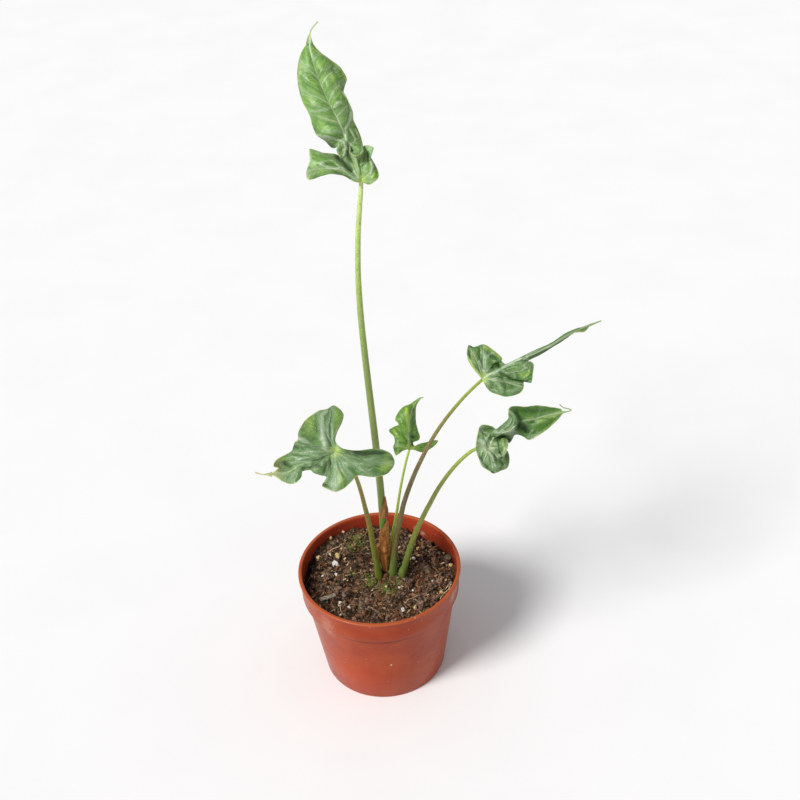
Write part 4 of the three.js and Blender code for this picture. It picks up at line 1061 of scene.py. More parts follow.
BLADES = {blade.name: blade for blade in (
    Blade(
        name="tall",
        junction=(6.6, -5, 404),
        tilt=25.6,
        turn=1.4,
        roll=-3.75,
        size=(0.984, 0.968, 1),
        midrib=(
            (0, 0, 0), (-2, 9, 1), (-5, 18, 2.5), (-9.5, 27, 4), (-13.5, 36, 5), (-18.5, 46, 5.5),
            (-23, 56, 5), (-27, 67, 3), (-29.4, 79, 0), (-28.8, 87, -2), (-24.6, 93, -4),
        ),
        left=(
            (0, -1.6, -0.8, 0.6, 0), (0, -5, 0.2, 2.4, 0.4), (0, -11, 3.3, 4.5, -5.6, 2.1, 3),
            (0, -20, 4.4, 5.8, -9.4, 3.8, 4.6), (0, -30.6, 0.8, 7, -13.6, 5.6, 5.4),
            (0, -32, 5.6, 5, -13.7, 7.1, 5), (0, -30.2, 11.5, 3, -12.6, 8.4, 4.2),
            (0, -30, 19, 1, -12.2, 10.6, 2.6), (0.15, -24, 16.8, -0.5, -9.7, 10.1, 1.4),
            (0.4, -17, 16.3, -1.5, -7.2, 10.6, 0.4), (0.75, -12.2, 15, -2, -5.7, 11.5, -0.2),
            (1.2, -10.2, 16, -1, -5.9, 14.2, 0.6), (1.6, -9.2, 15.4, 3.5, -6.6, 16.8, 3),
            (1.95, -11.6, 14, 6, -8.6, 18.5, 5), (2.25, -14, 17.5, 6, -10.2, 20.2, 6),
            (2.5, -13.4, 22, 4, -10.5, 22.4, 5.5), (2.7, -14, 20.5, 0.5, -11.5, 23.2, 3),
            (2.9, -17, 19.5, -2.5, -12.6, 24.6, 1.5), (3.1, -21, 23.8, -2.5, -15, 26, 3),
            (3.35, -25.7, 27, 0.5, -17.2, 28, 6.5), (3.8, -28.4, 33, 2.5, -20, 33.3, 6.5),
            (4.3, -29.8, 38.6, 3.5, -22.3, 39.4, 7), (4.9, -33.6, 46, 3, -25.6, 46, 7),
            (5.6, -36, 55, 2, -28.8, 54, 6.5), (6.3, -36.6, 64, 0.5, -30.8, 62, 5),
            (7, -35, 73, -1.5, -31.2, 70.4, 2.2), (7.6, -31.8, 79, -2.5, -30.2, 77, -0.3),
            (8, -30.1, 80.6, -1.6, 0),
        ),
        right=(
            (0, 1.2, -0.6, 0.6, 0), (0, 4.9, -2, 4, 2.5, -0.8, 2.6), (0, 7.4, -0.6, 5, 3.9, -0.3, 3.6),
            (0, 10, 1.8, 4, 5.1, 0.8, 4), (0, 10.3, 5.3, 2, 5.2, 2.4, 3.8), (0, 8.7, 9, 0, 4.6, 4.1, 3.2),
            (0, 6.3, 13, -1.5, 3.5, 5.9, 2.4), (0, 5.4, 15.5, -2, 3.1, 7.2, 1.8),
            (0, 7.4, 19.8, -1, 3.5, 9.1, 1), (0.3, 4, 21.2, -2.5, 1.7, 11.4, 0),
            (0.7, 1, 20.4, -3.5, -0.2, 13, -0.4), (1.1, -1, 17.6, -1.5, -2, 13.8, 0.3),
            (1.4, -4, 16.3, 1.8, -3.2, 15.5, 2), (1.65, -6, 16.4, 5, -4.5, 17, 4.2),
            (1.9, -3, 14.6, 6.5, -3.4, 18.2, 5.5), (2.1, 1, 16.6, 5, -2.4, 19.6, 5.2),
            (2.35, 1.2, 20.2, 1, -2.5, 21, 3), (2.6, 0.8, 22.5, -3, -3.4, 23.4, 0),
            (2.9, 0, 26, -4, -4.8, 26.2, -0.5), (3.3, -2, 31, -4.5, -6.8, 30, 0),
            (3.7, -4.4, 36, -4, -8.4, 34, 1.5), (4.05, -4.6, 39.5, -2, -9.4, 37.6, 4),
            (4.35, -5.6, 43, 1.5, -10.4, 41.6, 7), (4.75, -8, 48.5, 4, -12.8, 46.4, 8),
            (5.1, -10, 52, 3, -15, 50.6, 8), (5.5, -9, 56.5, 0.5, -16.4, 54.6, 7),
            (5.9, -8.2, 60, 0, -17, 58.6, 6.5), (6.35, -12, 66.4, -0.5, -19.8, 63.6, 6),
            (6.9, -18, 71, -1.5, -23.4, 69.6, 4), (7.4, -23.6, 75.2, -2, -26.6, 74, 1),
            (7.8, -26.8, 78.8, -1.8, 0.3), (8, -28.2, 80.8, -1, 0),
        ),
        folds=(
            (9, 4, 2, -344, 702, -357, 588, -335, 490),
            (9, 6, 0, -173, 427, -208, 413, -261, 404, -296, 410), (13, 4, 0, -278, 438, -237, 433),
            (9, 5, 0, -99, 294, -180, 288, -227, 294), (7, 4, 0, -157, 317, -192, 317),
            (23, -4, 0, -261, 363, -256, 311), (7, 10, 0, -251, 271, -192, 265, -134, 244, -93, 224),
            (8, 1, 5, -274, 770, -176, 702, -107, 645, -85, 588), (12, 4, 0, -206, 639, -177, 668),
            (8, -5, 0, -159, 645, -137, 600), (8, 0, 4, -171, 617, -137, 542),
            (7, 9, 3, -156, 427, -132, 450, -109, 456),
            (7, 10, 1, -103, 514, -68, 473, -57, 422, -66, 375, -87, 300, -84, 236),
            (6, -4, 0, -80, 468, -71, 416, -86, 358), (5, 6, 4, -69, 311, -29, 242),
            (5, 5, 3, -34, 306, -11, 259),
            (9, 8, 0, -13, 10, -44, 19, -83, 52, -114, 78, -157, 72, -194, 80, -232, 101),
            (6, 6, 0, -225, 106, -203, 120, -175, 124, -150, 113, -133, 90),
            (9, -6, 0, -206, 101, -171, 100, -147, 90),
            (18, -10, 0, -129, 136, -106, 119, -88, 95, -59, 60),
            (20, -4, 0, -264, 148, -205, 145, -147, 145), (8, -6, 0, -165, 63, -112, 41, -60, 19),
            (6, 4, 0, -297, 132, -264, 113, -232, 94), (8, 4, 0, -293, 171, -284, 148),
            (21, 0, 2, -294, 54, -230, 60), (14, 6, 3, -36, 136, -21, 78, -11, 22),
            (6, -8, 0, -15, 125, -6, 84, 1, 37), (5, 6, 0, -3, 90, 13, 108, 32, 127),
            (18, 4, 0, 11, 60, 35, 54), (6, -8, 0, 41, 172, 43, 116), (7, 8, 0, 55, 132, 68, 90, 58, 43),
            (11, -6, 0, 82, 101, 91, 48), (6, 0, 6, 79, 43, 64, 16), (14, -5, 0, 24, 163, 23, 125),
            (18, -8, 0, -199, 224, -158, 204, -141, 180),
            (5, 9, 0, -127, 221, -136, 183, -127, 150, -109, 140, -95, 160, -88, 193, -94, 221),
            (9, -5, 0, -114, 207, -111, 166), (7, -8, 0, -78, 204, -79, 154),
            (5, 8, 0, -66, 202, -66, 173, -52, 147, -25, 142, 2, 156, 10, 183, 4, 202),
            (6, -5, 0, -55, 189, -47, 160, -23, 154, -2, 168),
        ),
        paint=LeafPaint(
            
        ),
    ),
    Blade(
        name="left",
        junction=(-20.2, -50, 240),
        tilt=38.2,
        turn=4,
        roll=-5.7,
        midrib=(
            (0, 0, 0), (-4.5, -2, 0.8), (-9.5, -4.4, 1.6), (-15, -6.2, 2.2), (-21, -7.6, 2.6),
            (-26, -10.4, 2.4), (-31, -12.8, 2), (-35.5, -13.6, 1.4), (-40, -14, 0.6), (-46.5, -14, -0.6),
            (-51, -12.8, -1.4),
        ),
        left=(
            (0, 1, 4.6, 0, 0.6, 2.3, 0.2), (0, 5, 1.9, 0.5, 2.6, 1.4, 1), (0, 13.7, 0.9, -1.5, 7, 0, 1),
            (0, 24, 2, -3.5, 12, -0.6, 0.8), (0, 31, 1.2, -3.5, 16, -1.8, 1.4),
            (0, 35.5, -2, -2, 17, -3, 2.2), (0, 37, -7.5, 0.5, 17.6, -5.1, 4),
            (0, 32.5, -13.4, 3, 16.5, -7, 5), (0, 24, -15.6, 4.5, 12.6, -8.4, 5.5),
            (0, 14, -14.6, 5, 8, -8.6, 5), (0, 10, -18.2, 6, 5.4, -9.8, 5.4),
            (0, 5.5, -22.4, 7, 3, -11, 5.4), (0, 0, -25, 7, 0.4, -11.6, 4.6),
            (0.1, -4, -23.6, 6, -1.6, -11.6, 3), (0.2, -8.7, -21.2, 6.5, -3.2, -12, 2),
            (0.35, -6.2, -19.2, 4.2, -4.3, -11.6, 1), (0.5, -3.7, -16.8, 0.4, -4.9, -10.4, 0.4),
            (0.8, -6.9, -15.2, 1.8, -6.4, -9.6, 2), (1.3, -10, -14.4, 3, -8.6, -9.2, 4),
            (1.9, -14, -13, 3.5, -11.8, -9.4, 4.6), (2.5, -16, -11.2, 2, -14.8, -9, 3.8),
            (3.1, -20.8, -11.8, 0, -18.4, -9.4, 2.2), (3.7, -21.4, -12.6, 2.6, -20.6, -10, 3),
            (4.2, -21.8, -16, 4.4, -22.2, -12, 3.6), (4.8, -25.2, -19.3, 5, -25, -14, 3.6),
            (5.5, -29.5, -19.8, 4.4, -28.6, -15.4, 3), (6.3, -34.4, -17.8, 3, -33, -15.2, 2.2),
            (7.2, -38, -15.6, 1.6, 0.2), (8, -41.4, -14.6, 0.6, 0),
        ),
        right=(
            (0, 1, 4.6, 0, 0.6, 2.3, 0.2), (0, -0.6, 8.4, -1.5, -0.6, 4, -0.2),
            (0, 0.6, 13, -3, -0.8, 6.4, -0.6), (0, 4.2, 20, -5, -0.7, 9.7, -1),
            (0, 4.4, 25, -7, -1.3, 12, -1.5), (0, -1, 29.8, -9, -3.4, 14.2, -2),
            (0, -6, 27.4, -8.5, -4.8, 13, -1.4), (0, -12, 26, -8.5, -6.7, 12.4, -1.8),
            (0, -19.6, 20, -7, -9, 10.4, -1), (0.3, -23.6, 13, -4, -11.3, 7.5, 0),
            (1.2, -24, 8, -1.5, -13.6, 4.4, 1.4), (2, -26.2, 6, -4, -16, 1.8, 1.4),
            (2.9, -28, 0.8, -4, -19.4, -1.8, 1.2), (3.7, -32.5, -2, -2.5, -24.4, -4, -0.5),
            (4.5, -37.6, -5, -0.5, -29, -7, -2), (5.3, -39, -8.8, 2.5, -32.4, -9.8, -2),
            (6, -36, -9.6, 0.5, -33.6, -11.4, -0.4), (6.8, -37.6, -11.3, 0.6, 0), (7.6, -40, -13, 0.6, 0),
            (8, -41.4, -13.4, 0.4, 0),
        ),
        folds=(
            (15, 8, 0, -62, 26, -69, 89, -88, 171, -88, 234, -63, 259), (20, 4, 0, -82, 152, -82, 89),
            (8, 5, 0, -32, 247, -44, 190, -45, 139), (8, -6, 0, -39, 165, -37, 89, -31, 38),
            (29, 0, 3, 6, 247, 13, 127), (35, 0, 2, -164, 215, -157, 101), (8, 4, 0, -220, 202, -226, 95),
            (18, -6, 0, -264, 38, -213, 26), (9, 5, 0, -31, 7, -138, 1, -226, -3),
            (11, 4, 0, -50, -15, -150, -31, -238, -47), (9, -4, 0, -100, 29, -188, 38),
            (14, 4, 0, -263, -37, -226, -50), (7, -5, 0, -12, -2, -50, -28, -100, -47, -144, -56),
            (16, -6, 0, -138, -81, -94, -88), (10, 6, 0, -50, -50, -49, -113, -56, -157),
            (7, -5, 0, -31, -69, -30, -163), (6, 6, 0, -20, -50, -12, -94), (38, 0, 3, 26, -138, 33, -188),
            (14, -7, 0, -81, -201, -49, -207), (23, 4, 0, 26, -62, 127, -75, 228, -69),
            (16, 2, 0, 89, -163, 165, -125), (7, -4, 0, 64, -2, 127, -28, 177, -50),
            (7, 5, 0, 190, -47, 259, -37, 342, -18), (14, -4, 0, 89, 1, 203, -9, 304, -2),
            (27, -2, 3, 291, -94, 342, -75), (11, 0, 3, -383, -56, -326, -40, -289, -43),
            (15, -8, 0, -320, -72, -282, -94), (7, 5, 0, -351, -131, -288, -119, -244, -91),
            (7, 6, 0, -213, -75, -251, -94, -282, -119), (10, -6, 0, -207, -97, -150, -97),
            (9, -5, 0, 1, -62, 51, -151), (9, -4, 0, 89, -100, 140, -144),
            (13, -4, 0, -120, 240, -119, 127), (19, -8, 1, 133, -6, 190, -13, 253, -3, 310, -15),
            (27, 1, 2, 316, -43, 329, -81, 297, -125), (27, 0, 1, -195, 139, -158, 202, -95, 259),
            (8, 5, -1, 152, -103, 190, -119, 225, -110),
        ),
        paint=LeafPaint(
            dark="#38622a", green="#517c3d", light="#719b46", vein="#9db38c", silver_sheen="#a2b499", salt=0.9,
            sheen_reach=5.0, sheen_strength=0.4, tip="#a8a24a", tip_axis=Axis.X,
            tip_stretch=(-52.0, -66.0),
        ),
    ),
    Blade(
        name="small",
        junction=(27.3, 25, 180),
        tilt=38.3,
        turn=-0.4,
        roll=-2.9,
        midrib=(
            (0, 0, 0), (-0.8, 3.7, 0.4), (-1, 8, 0.6), (-1.2, 13, 0.6), (-0.9, 18, 0.4), (0, 23, 0),
            (1.6, 28, -0.8), (4, 33, -1.8), (6.5, 35.8, -2.6), (9.5, 37, -3.4),
        ),
        left=(
            (0, -1.6, -0.3, 0.3, 0), (0, -4, -0.2, 1, 0.3), (0, -9.3, -4.2, 2, -4.8, -0.6, 1.8),
            (0, -10.6, -3.8, 2, -5.4, -0.1, 2.1), (0, -12, 1.2, 1, -5.8, 1.6, 2.6),
            (0.3, -10.8, 4.5, 1.5, -5.8, 3.8, 3), (0.9, -11.5, 9, 0.5, -6, 6.8, 3),
            (1.4, -15, 12.8, -1, -7.4, 9.8, 2.6), (2, -12.4, 15.2, -1.5, -6.8, 11.8, 2.2),
            (2.6, -8.5, 17, -1.5, -5, 14.2, 2), (3.2, -8.4, 18.6, 0, -4.8, 16.6, 2.4),
            (3.8, -10.4, 21, 0.5, -5.6, 19.4, 3), (4.6, -8.6, 25.6, -0.5, -4.4, 23.4, 2.4),
            (5.4, -5, 29.8, -1.5, -2.2, 27.2, 1), (6.2, 0, 32, -2.2, 1, 30.2, -0.8),
            (7, 3.6, 34.6, -2.4, 0), (8, 6.2, 36.4, -2.8, 0),
        ),
        right=(
            (0, 0.8, -0.4, 0.2, 0), (0, 3, -0.4, -0.5, 0.2), (0, 9, -2.2, -1.5, 4.4, -0.4, 0.2),
            (0, 15.8, 1, -2.5, 8, 0.8, -0.6), (0, 20, 5.4, -4, 9.6, 2.4, -1.2),
            (0, 17.4, 6, -4.5, 8.6, 3, -1.6), (0, 10.4, 4.2, -4, 5.4, 2.6, -1.4),
            (0.2, 5.6, 1, -2.6, 2.8, 1.4, -0.8), (0.5, 2.4, 3.2, -2.4, 0), (1, 2.6, 5.2, -3, 0.8, 4.8, -1),
            (1.5, 6, 6.4, -5, 2.2, 6.4, -1.8), (2, 6.9, 9.2, -6, 2.6, 8.8, -2),
            (2.7, 5.6, 13.2, -5.5, 2, 12.6, -1.8), (3.6, 4.2, 19, -5, 1.4, 17.6, -1.8),
            (4.4, 4, 24, -4.5, 1.8, 22.2, -1.6), (5.3, 4, 28.5, -4, 2.6, 27, -1.8),
            (6.2, 4.6, 31.4, -3.2, 0), (7, 5.6, 33.2, -3, 0), (8, 7.1, 35.2, -3, 0),
        ),
        folds=(
            (10, -4, 0, -71, 199, -57, 135, -39, 78), (14, 0, 6, -25, 285, -18, 206, -14, 135),
            (13, -5, 0, 25, 285, 18, 206, 10, 121, 21, 78), (13, -6, 0, 7, 89, 42, 85),
            (7, -4, 0, -96, 235, -71, 281), (11, -5, 0, -64, 43, -29, 39),
            (9, 4, 0, -107, 21, -43, 18, -15, 11), (13, -6, 0, -107, 4, -96, -21),
            (7, -6, 0, -100, 160, -75, 156), (8, 5, 1, -8, 14, -11, 78, -22, 114),
            (11, -5, 0, 78, 10, 121, 35), (10, -6, 0, 7, 57, 17, 21), (11, 0, 3, -114, 135, -93, 92),
        ),
        paint=LeafPaint(
            dark="#3b6a19", green="#588a25", light="#7dab34", vein="#a9c480", silver_sheen="#a3bd80",
            sheen_strength=0.12, margin="#86a23e",
        ),
    ),
    Blade(
        name="upper_right",
        junction=(77.1, 0, 255),
        tilt=35.1,
        turn=-4.8,
        roll=-0.4,
        midrib=(
            (0, 0, 0), (5.5, 3.6, 0.6), (10.5, 6, 1.2), (16, 8.8, 2), (22, 11.8, 2.6), (29, 14.4, 2.4),
            (36, 17.4, 2), (45, 22, 1.4), (54, 27.6, 0.6), (62, 31.6, -0.2), (70, 35.1, -1),
            (77.7, 38, -1.8),
        ),
        left=(
            (0, -0.6, 0.6, 0, 0), (0, -5, 6, 0.8, -2.8, 3.2, 1), (0, -8.6, 11, 0.4, -4.6, 5.8, 1.6),
            (0, -10.2, 16, -0.6, -5.2, 8.4, 1.8), (0, -9.2, 22.2, -2, -3.6, 11, 1.2),
            (0, -5.6, 21, -3, -2, 11, 0.4), (0, 0.6, 22.8, -4.5, 0.4, 11.4, -0.6),
            (0, 6, 19.8, -4, 2.6, 10.6, -0.8), (0.2, 12.6, 14.2, -2, 6, 9.6, -1.5),
            (0.8, 12.4, 12.2, -3.2, 7.6, 8.2, -2), (1.6, 14.8, 9.8, -3, 10.6, 7.6, -1.6),
            (2.2, 15.6, 9.6, -3.2, 12.8, 8.4, -1), (3, 17.8, 8.8, -3.4, 17.2, 10, -0.6),
            (4, 23.6, 11.6, -3.4, 22.8, 13, 0), (5, 30.4, 14.6, -3.2, 29.6, 16.2, 0),
            (6, 37.4, 18.2, -3, 36.6, 19.4, -0.2), (7, 45.6, 22.6, -1.6, 45.2, 23.6, 0),
            (8, 54, 28.4, -1.4, 53.8, 29.3, -0.2), (9, 61, 32.1, -1, 61.2, 32.6, -0.4),
            (9.5, 65.4, 34, -1, 0), (10, 69.5, 35.7, -1, 0),
        ),
        right=(
            (0, 0.4, -0.9, 0, 0), (0, 4.3, -7.6, 1.6, 2.4, -3.4, 1.4), (0, 11, -10.6, 3, 6, -4.6, 2.6),
            (0, 16, -11.6, 3.4, 8.6, -4.8, 3.2), (0, 23.6, -9.8, 2.6, 12, -4.2, 3),
            (0, 26.8, -6, 1, 14, -2.4, 2), (0.2, 27, -2.2, -0.5, 14.6, -0.8, 0.4),
            (0.6, 28.6, -1.6, 0, 15, 0.4, 0), (1, 32, -2.4, 2, 16.6, 1.4, 1.6),
            (1.8, 32.8, 3, 3.4, 19, 4, 4), (2.6, 33.4, 9, 3.6, 21.5, 7.2, 5),
            (3.3, 31.6, 11.2, 3, 23.4, 9.6, 4.6), (4.1, 29.8, 11.2, 1.6, 25.4, 11.4, 3.4),
            (4.7, 30.4, 12.2, -0.4, 28.2, 12.4, 1.8), (5.4, 33.6, 14, -1.6, 32.8, 14, 1),
            (6.2, 39, 16.8, -1.8, 38.4, 16.6, 0.6), (7, 46, 21.4, -1, 45.4, 20.8, 0.6),
            (8, 54.6, 26.8, -0.8, 54.4, 26.4, 0), (8.6, 58.5, 29.2, -0.4, 0),
            (9, 61.6, 30.4, 0.4, 61.8, 31, 0.2), (9.5, 66.4, 30.7, 1, 66, 32, 0.4),
            (10, 69.9, 34.4, -0.6, 0),
        ),
        folds=(
            (7, 6, 0, 17, 32, -10, 85, -23, 118), (13, 5, 0, 20, 52, 23, 111, 17, 164, 3, 183),
            (7, 6, 0, 30, 52, 49, 85, 76, 117), (11, 6, 0, 36, 144, 56, 167, 89, 170),
            (6, 6, 0, 76, 117, 115, 117), (13, -6, 0, 56, 144, 95, 137),
            (16, -8, 0, 69, 101, 102, 88, 69, 75), (10, -8, 0, 102, 104, 115, 71),
            (8, -6, 0, -19, 196, -19, 131), (8, -7, 0, -87, 190, -83, 137),
            (7, 0, 6, -102, 151, -56, 72, -3, 6), (17, 0, 3, -56, 177, -49, 111),
            (15, 0, 4, 16, 210, 75, 180, 115, 137), (9, -6, 0, -95, 220, -72, 210),
            (12, 8, 0, 30, 25, 76, 35, 115, 62, 154, 88, 206, 114, 246, 134), (5, -5, 0, 115, 48, 148, 65),
            (13, 5, 0, 36, 6, 76, 2, 102, -24, 121, -60, 128, -86), (13, -6, 0, 63, -27, 69, -60),
            (7, -5, 0, 89, -37, 95, -70), (10, -6, 0, 121, 12, 148, -34, 154, -67),
            (5, 4, 0, 151, 9, 187, -34), (18, -5, 0, 171, -14, 200, -47),
            (17, 5, 0, 180, -83, 220, -70, 252, -47),
            (11, -9, 0, 121, 35, 161, 19, 207, -1, 259, -14, 291, -14), (6, 6, 0, 128, 50, 167, 32, 213, 6),
            (8, 4, 0, 200, 52, 213, 12), (12, 3, 0, 233, 71, 272, 58), (15, 3, 0, 252, 104, 291, 78),
            (15, 0, 3, 252, 25, 291, 35), (5, 3, 4, 265, 9, 298, 28, 311, 71),
            (11, 6, 0, 239, 137, 298, 124), (9, 6, 0, 291, 156, 363, 192),
            (11, -8, 0, 311, 140, 357, 163, 415, 189), (7, -6, 0, 415, 186, 506, 241, 578, 280),
        ),
        paint=LeafPaint(
            dark="#305b1f", green="#46772e", light="#68943f", silver_sheen="#9fb296", margin="#84a060",
            tip="#3d6f26", tip_axis=Axis.X, tip_stretch=(110.0, 128.0),
        ),
    ),
    Blade(
        name="lower_right",
        junction=(77, -25, 217),
        tilt=38.3,
        turn=-5,
        roll=0,
        midrib=(
            (2, -0.5, 0), (3.6, 4.6, 1.6), (8.6, 8.6, 3.6), (15, 11, 5), (19.4, 14.4, 5.6),
            (21.4, 17.2, 2.6), (25, 17.8, -1), (31, 18.8, -2), (38, 20.6, -2.4), (45, 22.2, -2.4),
            (50.5, 23.2, -2.2), (54.5, 23.9, -2.2), (56.2, 24.8, -2.2), (54, 25.6, -2.2), (51, 26.4, -2.4),
            (48.6, 28.5, -2.6),
        ),
        left=(
            (0, -6.8, 0.2, -3, -2.4, -0.2, 0), (0, -6.4, 3.6, -2.6, -2.2, 2, 0.4),
            (0, -5.8, 7, -2, -2, 4, 0.8), (0, -4.8, 11.6, -1.6, -1.6, 6.4, 1),
            (0, -3.6, 14.4, -2, -1, 7.8, 1), (0, -0.6, 15.1, -2.6, 0.4, 8, 0.8),
            (0.2, 4.2, 13.9, -2.4, 2.6, 8.4, 0.8), (0.8, 6.9, 12.2, -1.6, 4.4, 9, 1),
            (1.6, 9.8, 14.4, 1.4, 8.4, 11.4, 3), (2.4, 12.8, 16.9, 2.4, 12, 13, 4.4),
            (3.1, 15, 19.4, 3, 15.8, 15, 5.2), (3.7, 14.8, 22.4, 2.6, 17.8, 18, 5.2),
            (4.3, 15, 25.2, 1.2, 19.4, 20.4, 4.6), (4.9, 16.6, 26.9, -1.4, 20, 22.4, 1.4),
            (5.5, 20, 27.5, -3.4, 22, 22.8, -1.6), (6.4, 26, 27.1, -4, 26.6, 22.6, -2.2),
            (7.4, 34, 27.9, -4.6, 33.6, 23.6, -2.4), (8.4, 41, 27, -4.4, 40.6, 23.8, -2.6),
            (9.4, 48.6, 25.7, -3, 47.8, 24.2, -2.4), (10, 50.6, 24, -2.2, 0),
        ),
        right=(
            (0, -6.8, 0.2, -3, -2.4, -0.2, 0), (0, -6, -3.2, -2.4, -2, -1.8, 0.4),
            (0, -4.8, -7, -1, -1.4, -3.8, 1), (0, -2.6, -12.4, 0.6, -0.4, -6, 1.8),
            (0, 1, -14.6, 1.8, 1.4, -7.2, 2.4), (0, 5, -17, 2.4, 3.4, -8.4, 2.8),
            (0, 9.6, -15.2, 2, 5.8, -7.6, 2.8), (0, 13.6, -13.6, 0.6, 8, -6.6, 2.2),
            (0, 15.3, -9.4, -1, 8.8, -4.8, 1.4), (0, 15, -4.6, -3.4, 8.8, -3, 0.2),
            (0.1, 13.6, -1.6, -3, 8.6, -1.8, 0.2), (0.2, 11, -5.8, 4.2, 8, -1, 2.2),
            (0.35, 13, -3.6, 5.6, 8.4, 0, 3.2), (0.55, 14.6, 1.8, 5, 8.8, 2, 3.2),
            (0.8, 13.6, 6.2, 2.2, 8.4, 4.2, 2), (1.2, 13.2, 6.6, -1, 9, 5.6, 0.8),
            (1.7, 15.2, 3.2, -3, 10.4, 6, -0.6), (2.4, 17.2, 5, -4, 13.2, 7.6, -1),
            (3.2, 18.6, 8, -4.4, 16.4, 9.6, 0), (4.2, 21, 8.7, -4.6, 20.4, 11.6, -1),
            (5.2, 25, 7, -4, 23, 12, -2.4), (6, 28.8, 5, -2.6, 26.6, 11.4, -2.6),
            (6.8, 34, 7.6, -2.2, 31.4, 12.8, -2.2), (7.6, 40.4, 12, -2.2, 37, 15.6, -2),
            (8.6, 46, 17, -2.4, 43.6, 19, -2), (9.4, 49.4, 20.8, -2.4, 48, 21.6, -2.2),
            (10, 51, 22.6, -2.2, 0),
        ),
        folds=(
            (11, 6, 0, -13, 24, 7, 64, 34, 93, 67, 116),
            (8, 8, 0, 67, 100, 126, 94, 172, 116, 198, 152, 204, 188, 179, 225, 149, 241),
            (13, 4, 0, 99, 113, 146, 149, 166, 188), (5, -4, 0, 166, 225, 183, 182, 165, 139, 126, 110),
            (9, -4, 0, 93, 143, 126, 182), (17, -6, 0, -25, 123, 34, 120), (9, -6, 0, -19, 97, 4, 80),
            (6, 0, 6, -50, 117, -63, 44, -70, -2), (19, 6, 0, -39, 47, -13, 27, -3, -15),
            (9, 4, 0, -33, -15, -33, -55), (7, 5, 0, 7, -29, -7, -68, -10, -94),
            (8, 6, 0, 20, -25, 40, -55, 48, -88), (12, -8, 0, -39, -65, -13, -108, 16, -137),
            (7, -6, 0, -16, -35, -26, -75), (9, -5, 0, 59, -48, 72, -88), (12, 5, 0, 40, -12, 79, -25),
            (17, 4, 0, 46, -131, 85, -121), (12, -8, 0, 105, -65, 95, -78, 111, -111),
            (15, -4, 0, 128, -48, 131, -101), (9, -10, 0, 42, -157, 49, -167), (20, -9, 0, 40, 64, 86, 63),
            (13, -4, 3, 33, 8, 66, 6), (7, -8, 0, 79, 44, 88, -2, 94, -32),
            (11, 0, 4, 112, 50, 125, 4, 112, -42), (6, 9, 0, 86, -52, 115, -56),
            (15, -10, 0, 106, 77, 145, 67, 165, 44), (17, -4, 0, 172, 238, 291, 255, 389, 250),
            (26, -10, 0, 218, 145, 260, 132, 273, 106), (17, -6, 0, 202, 221, 228, 182),
            (10, -8, 0, 303, 168, 313, 172), (9, -4, 0, 185, 96, 231, 86),
            (17, 0, 6, 355, 175, 401, 198, 460, 220, 506, 235), (7, 4, 0, 372, 178, 414, 178),
            (5, -5, 0, 382, 191, 411, 191), (9, 4, 0, 457, 199, 483, 208),
            (8, 6, 0, 306, 106, 280, 89, 263, 86), (8, -6, 0, 309, 99, 329, 102),
            (10, 0, 5, 309, 56, 355, 89, 434, 148, 480, 197), (12, -4, 0, 264, 238, 343, 237),
            (10, 0, 4, 277, 195, 316, 198), (13, 0, 2, 316, 135, 342, 155), (8, -6, 0, 122, 44, 129, 17),
            (5, 4, 0, 135, 50, 145, 4, 118, -48), (8, -6, 0, 109, 4, 109, -22),
            (5, 6, 0, 164, 223, 188, 188, 180, 152, 155, 124, 116, 108),
        ),
        paint=LeafPaint(
            dark="#2e551b", green="#47722f", light="#688e3f", silver_sheen="#9db094", heart="#90a47b",
            margin="#9db084", tip="#39690f", tip_axis=Axis.X, tip_stretch=(93.0, 98.0),
        ),
    ),
)}


# ---- stems, sheaths and corm


